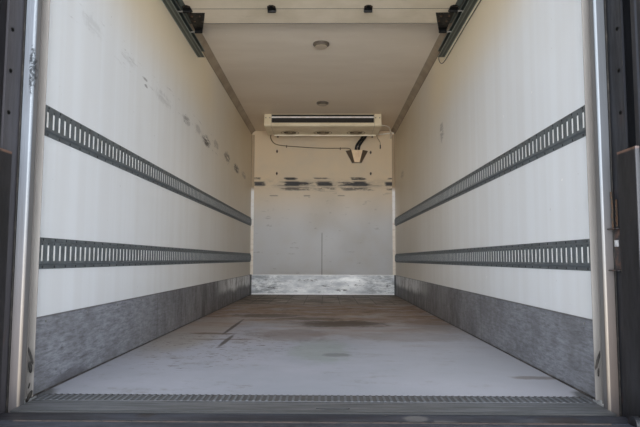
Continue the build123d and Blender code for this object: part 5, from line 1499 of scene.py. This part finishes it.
LINK_PITCH = 0.014
LINK_COUNT = 7
bpy.ops.mesh.primitive_torus_add(major_radius=0.006, minor_radius=0.0016, major_segments=14,
                                 minor_segments=6, rotation=(0, math.radians(90), 0))
bpy.ops.object.transform_apply()
bpy.context.object.scale = (1, 0.8, 1.5)
bpy.ops.object.transform_apply()
set_out([(COLUMN_X - 0.005, REAR_FACE_Y - 0.034, latch_top.z + 0.012 + LINK_PITCH * n)
         for n in range(LINK_COUNT)])
fasten("latch_chain", bolt_steel)

tag_plastic = mottled("tag_plastic", (206, 208, 212), 0.4, 0, (80, 3), (0.4, 0.7), (212, 214, 218),
                      (168, 168, 170))
TAG_W = 0.024
TAG_T = 0.004
TAG_Y = -3.284
TAG_Z = FLOOR_Z + 0.600
block((COLUMN_X - 2 * TAG_T, TAG_Y - TAG_W / 2, TAG_Z - TAG_W / 2),
      (COLUMN_X - TAG_T, TAG_Y + TAG_W / 2, TAG_Z + TAG_W / 2), 0.0015, 2)
fasten("blank_tag", tag_plastic)

# Platform: steel deck with rows of raised treads, worn to slate and rust, hinged to the beam
# on a rusty tube
deck_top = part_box("platform")[1]
deck = new_material("lift_deck", (72, 75, 82), 0.5, 0.15)
wear = noise(3, 7, 0.7, (1.5, 4, 1))
colour = tint(span(wear, 0.35, 0.7), (72, 77, 90), (50, 53, 62))
rust = span(noise(6, 7, 0.7), 0.6, 0.68)
cover(rust, (98, 70, 60), 0.5)
ears = span(distance("X"), 1.062, 1.068)
cover(ears, (34, 35, 39), 0.8)
hinge_rust = both(ramp("Y", deck_top.y - 0.040, deck_top.y - 0.022), span(wear, 0.40, 0.55))
cover(hinge_rust, (88, 64, 56), 0.7)
finish_material(deck, colour, (wear, 0.38, 0.6), wear, 0.0008, 0.35)
dress(["platform"], deck)

TREAD_PITCH = 0.060
TREAD_HALF_L = 0.016
TREAD_HALF_W = 0.0045
TREAD_H = 0.0022
TREAD_MARGIN = 0.05
TREAD_START = 0.075
TREAD_ROWS = 25
HINGE_Y = beam_low.y - 0.005
half_dome((TREAD_HALF_L, TREAD_HALF_W, TREAD_H), (0, 0, math.radians(45)), rings=4)
across = int(2 * (deck_top.x - TREAD_MARGIN) / TREAD_PITCH)
put((-(across - 1) * TREAD_PITCH / 2, HINGE_Y - TREAD_START, beam_top.z))
row(across, (TREAD_PITCH, 0, 0))
row(TREAD_ROWS, (0, -TREAD_PITCH, 0))
fasten("platform_treads", deck, "lift_platform")

rusty = mottled("rusty_steel", (104, 66, 50), 0.7, 0, (30, 6, 0.7), (0.35, 0.65), (70, 60, 58),
                (48, 46, 46), bump=(0.001, 0.5))
HINGE_TUBE_R = 0.0045
KNUCKLE_L = 0.10
KNUCKLE_COUNT = 20
bpy.ops.mesh.primitive_cylinder_add(vertices=12, radius=HINGE_TUBE_R, depth=0.96 * KNUCKLE_L)
open_mesh()
bpy.ops.mesh.bevel(offset=0.001, segments=2, affect="EDGES")
bpy.ops.mesh.primitive_cylinder_add(vertices=10, radius=0.6 * HINGE_TUBE_R, depth=KNUCKLE_L)
close_mesh()
bpy.context.object.rotation_euler = (0, math.radians(90), 0)
bpy.ops.object.transform_apply()
put((-(KNUCKLE_COUNT - 1) * KNUCKLE_L / 2, HINGE_Y, beam_top.z))
row(KNUCKLE_COUNT, (KNUCKLE_L, 0, 0))
fasten("platform_hinge_tube", rusty, "lift_platform")
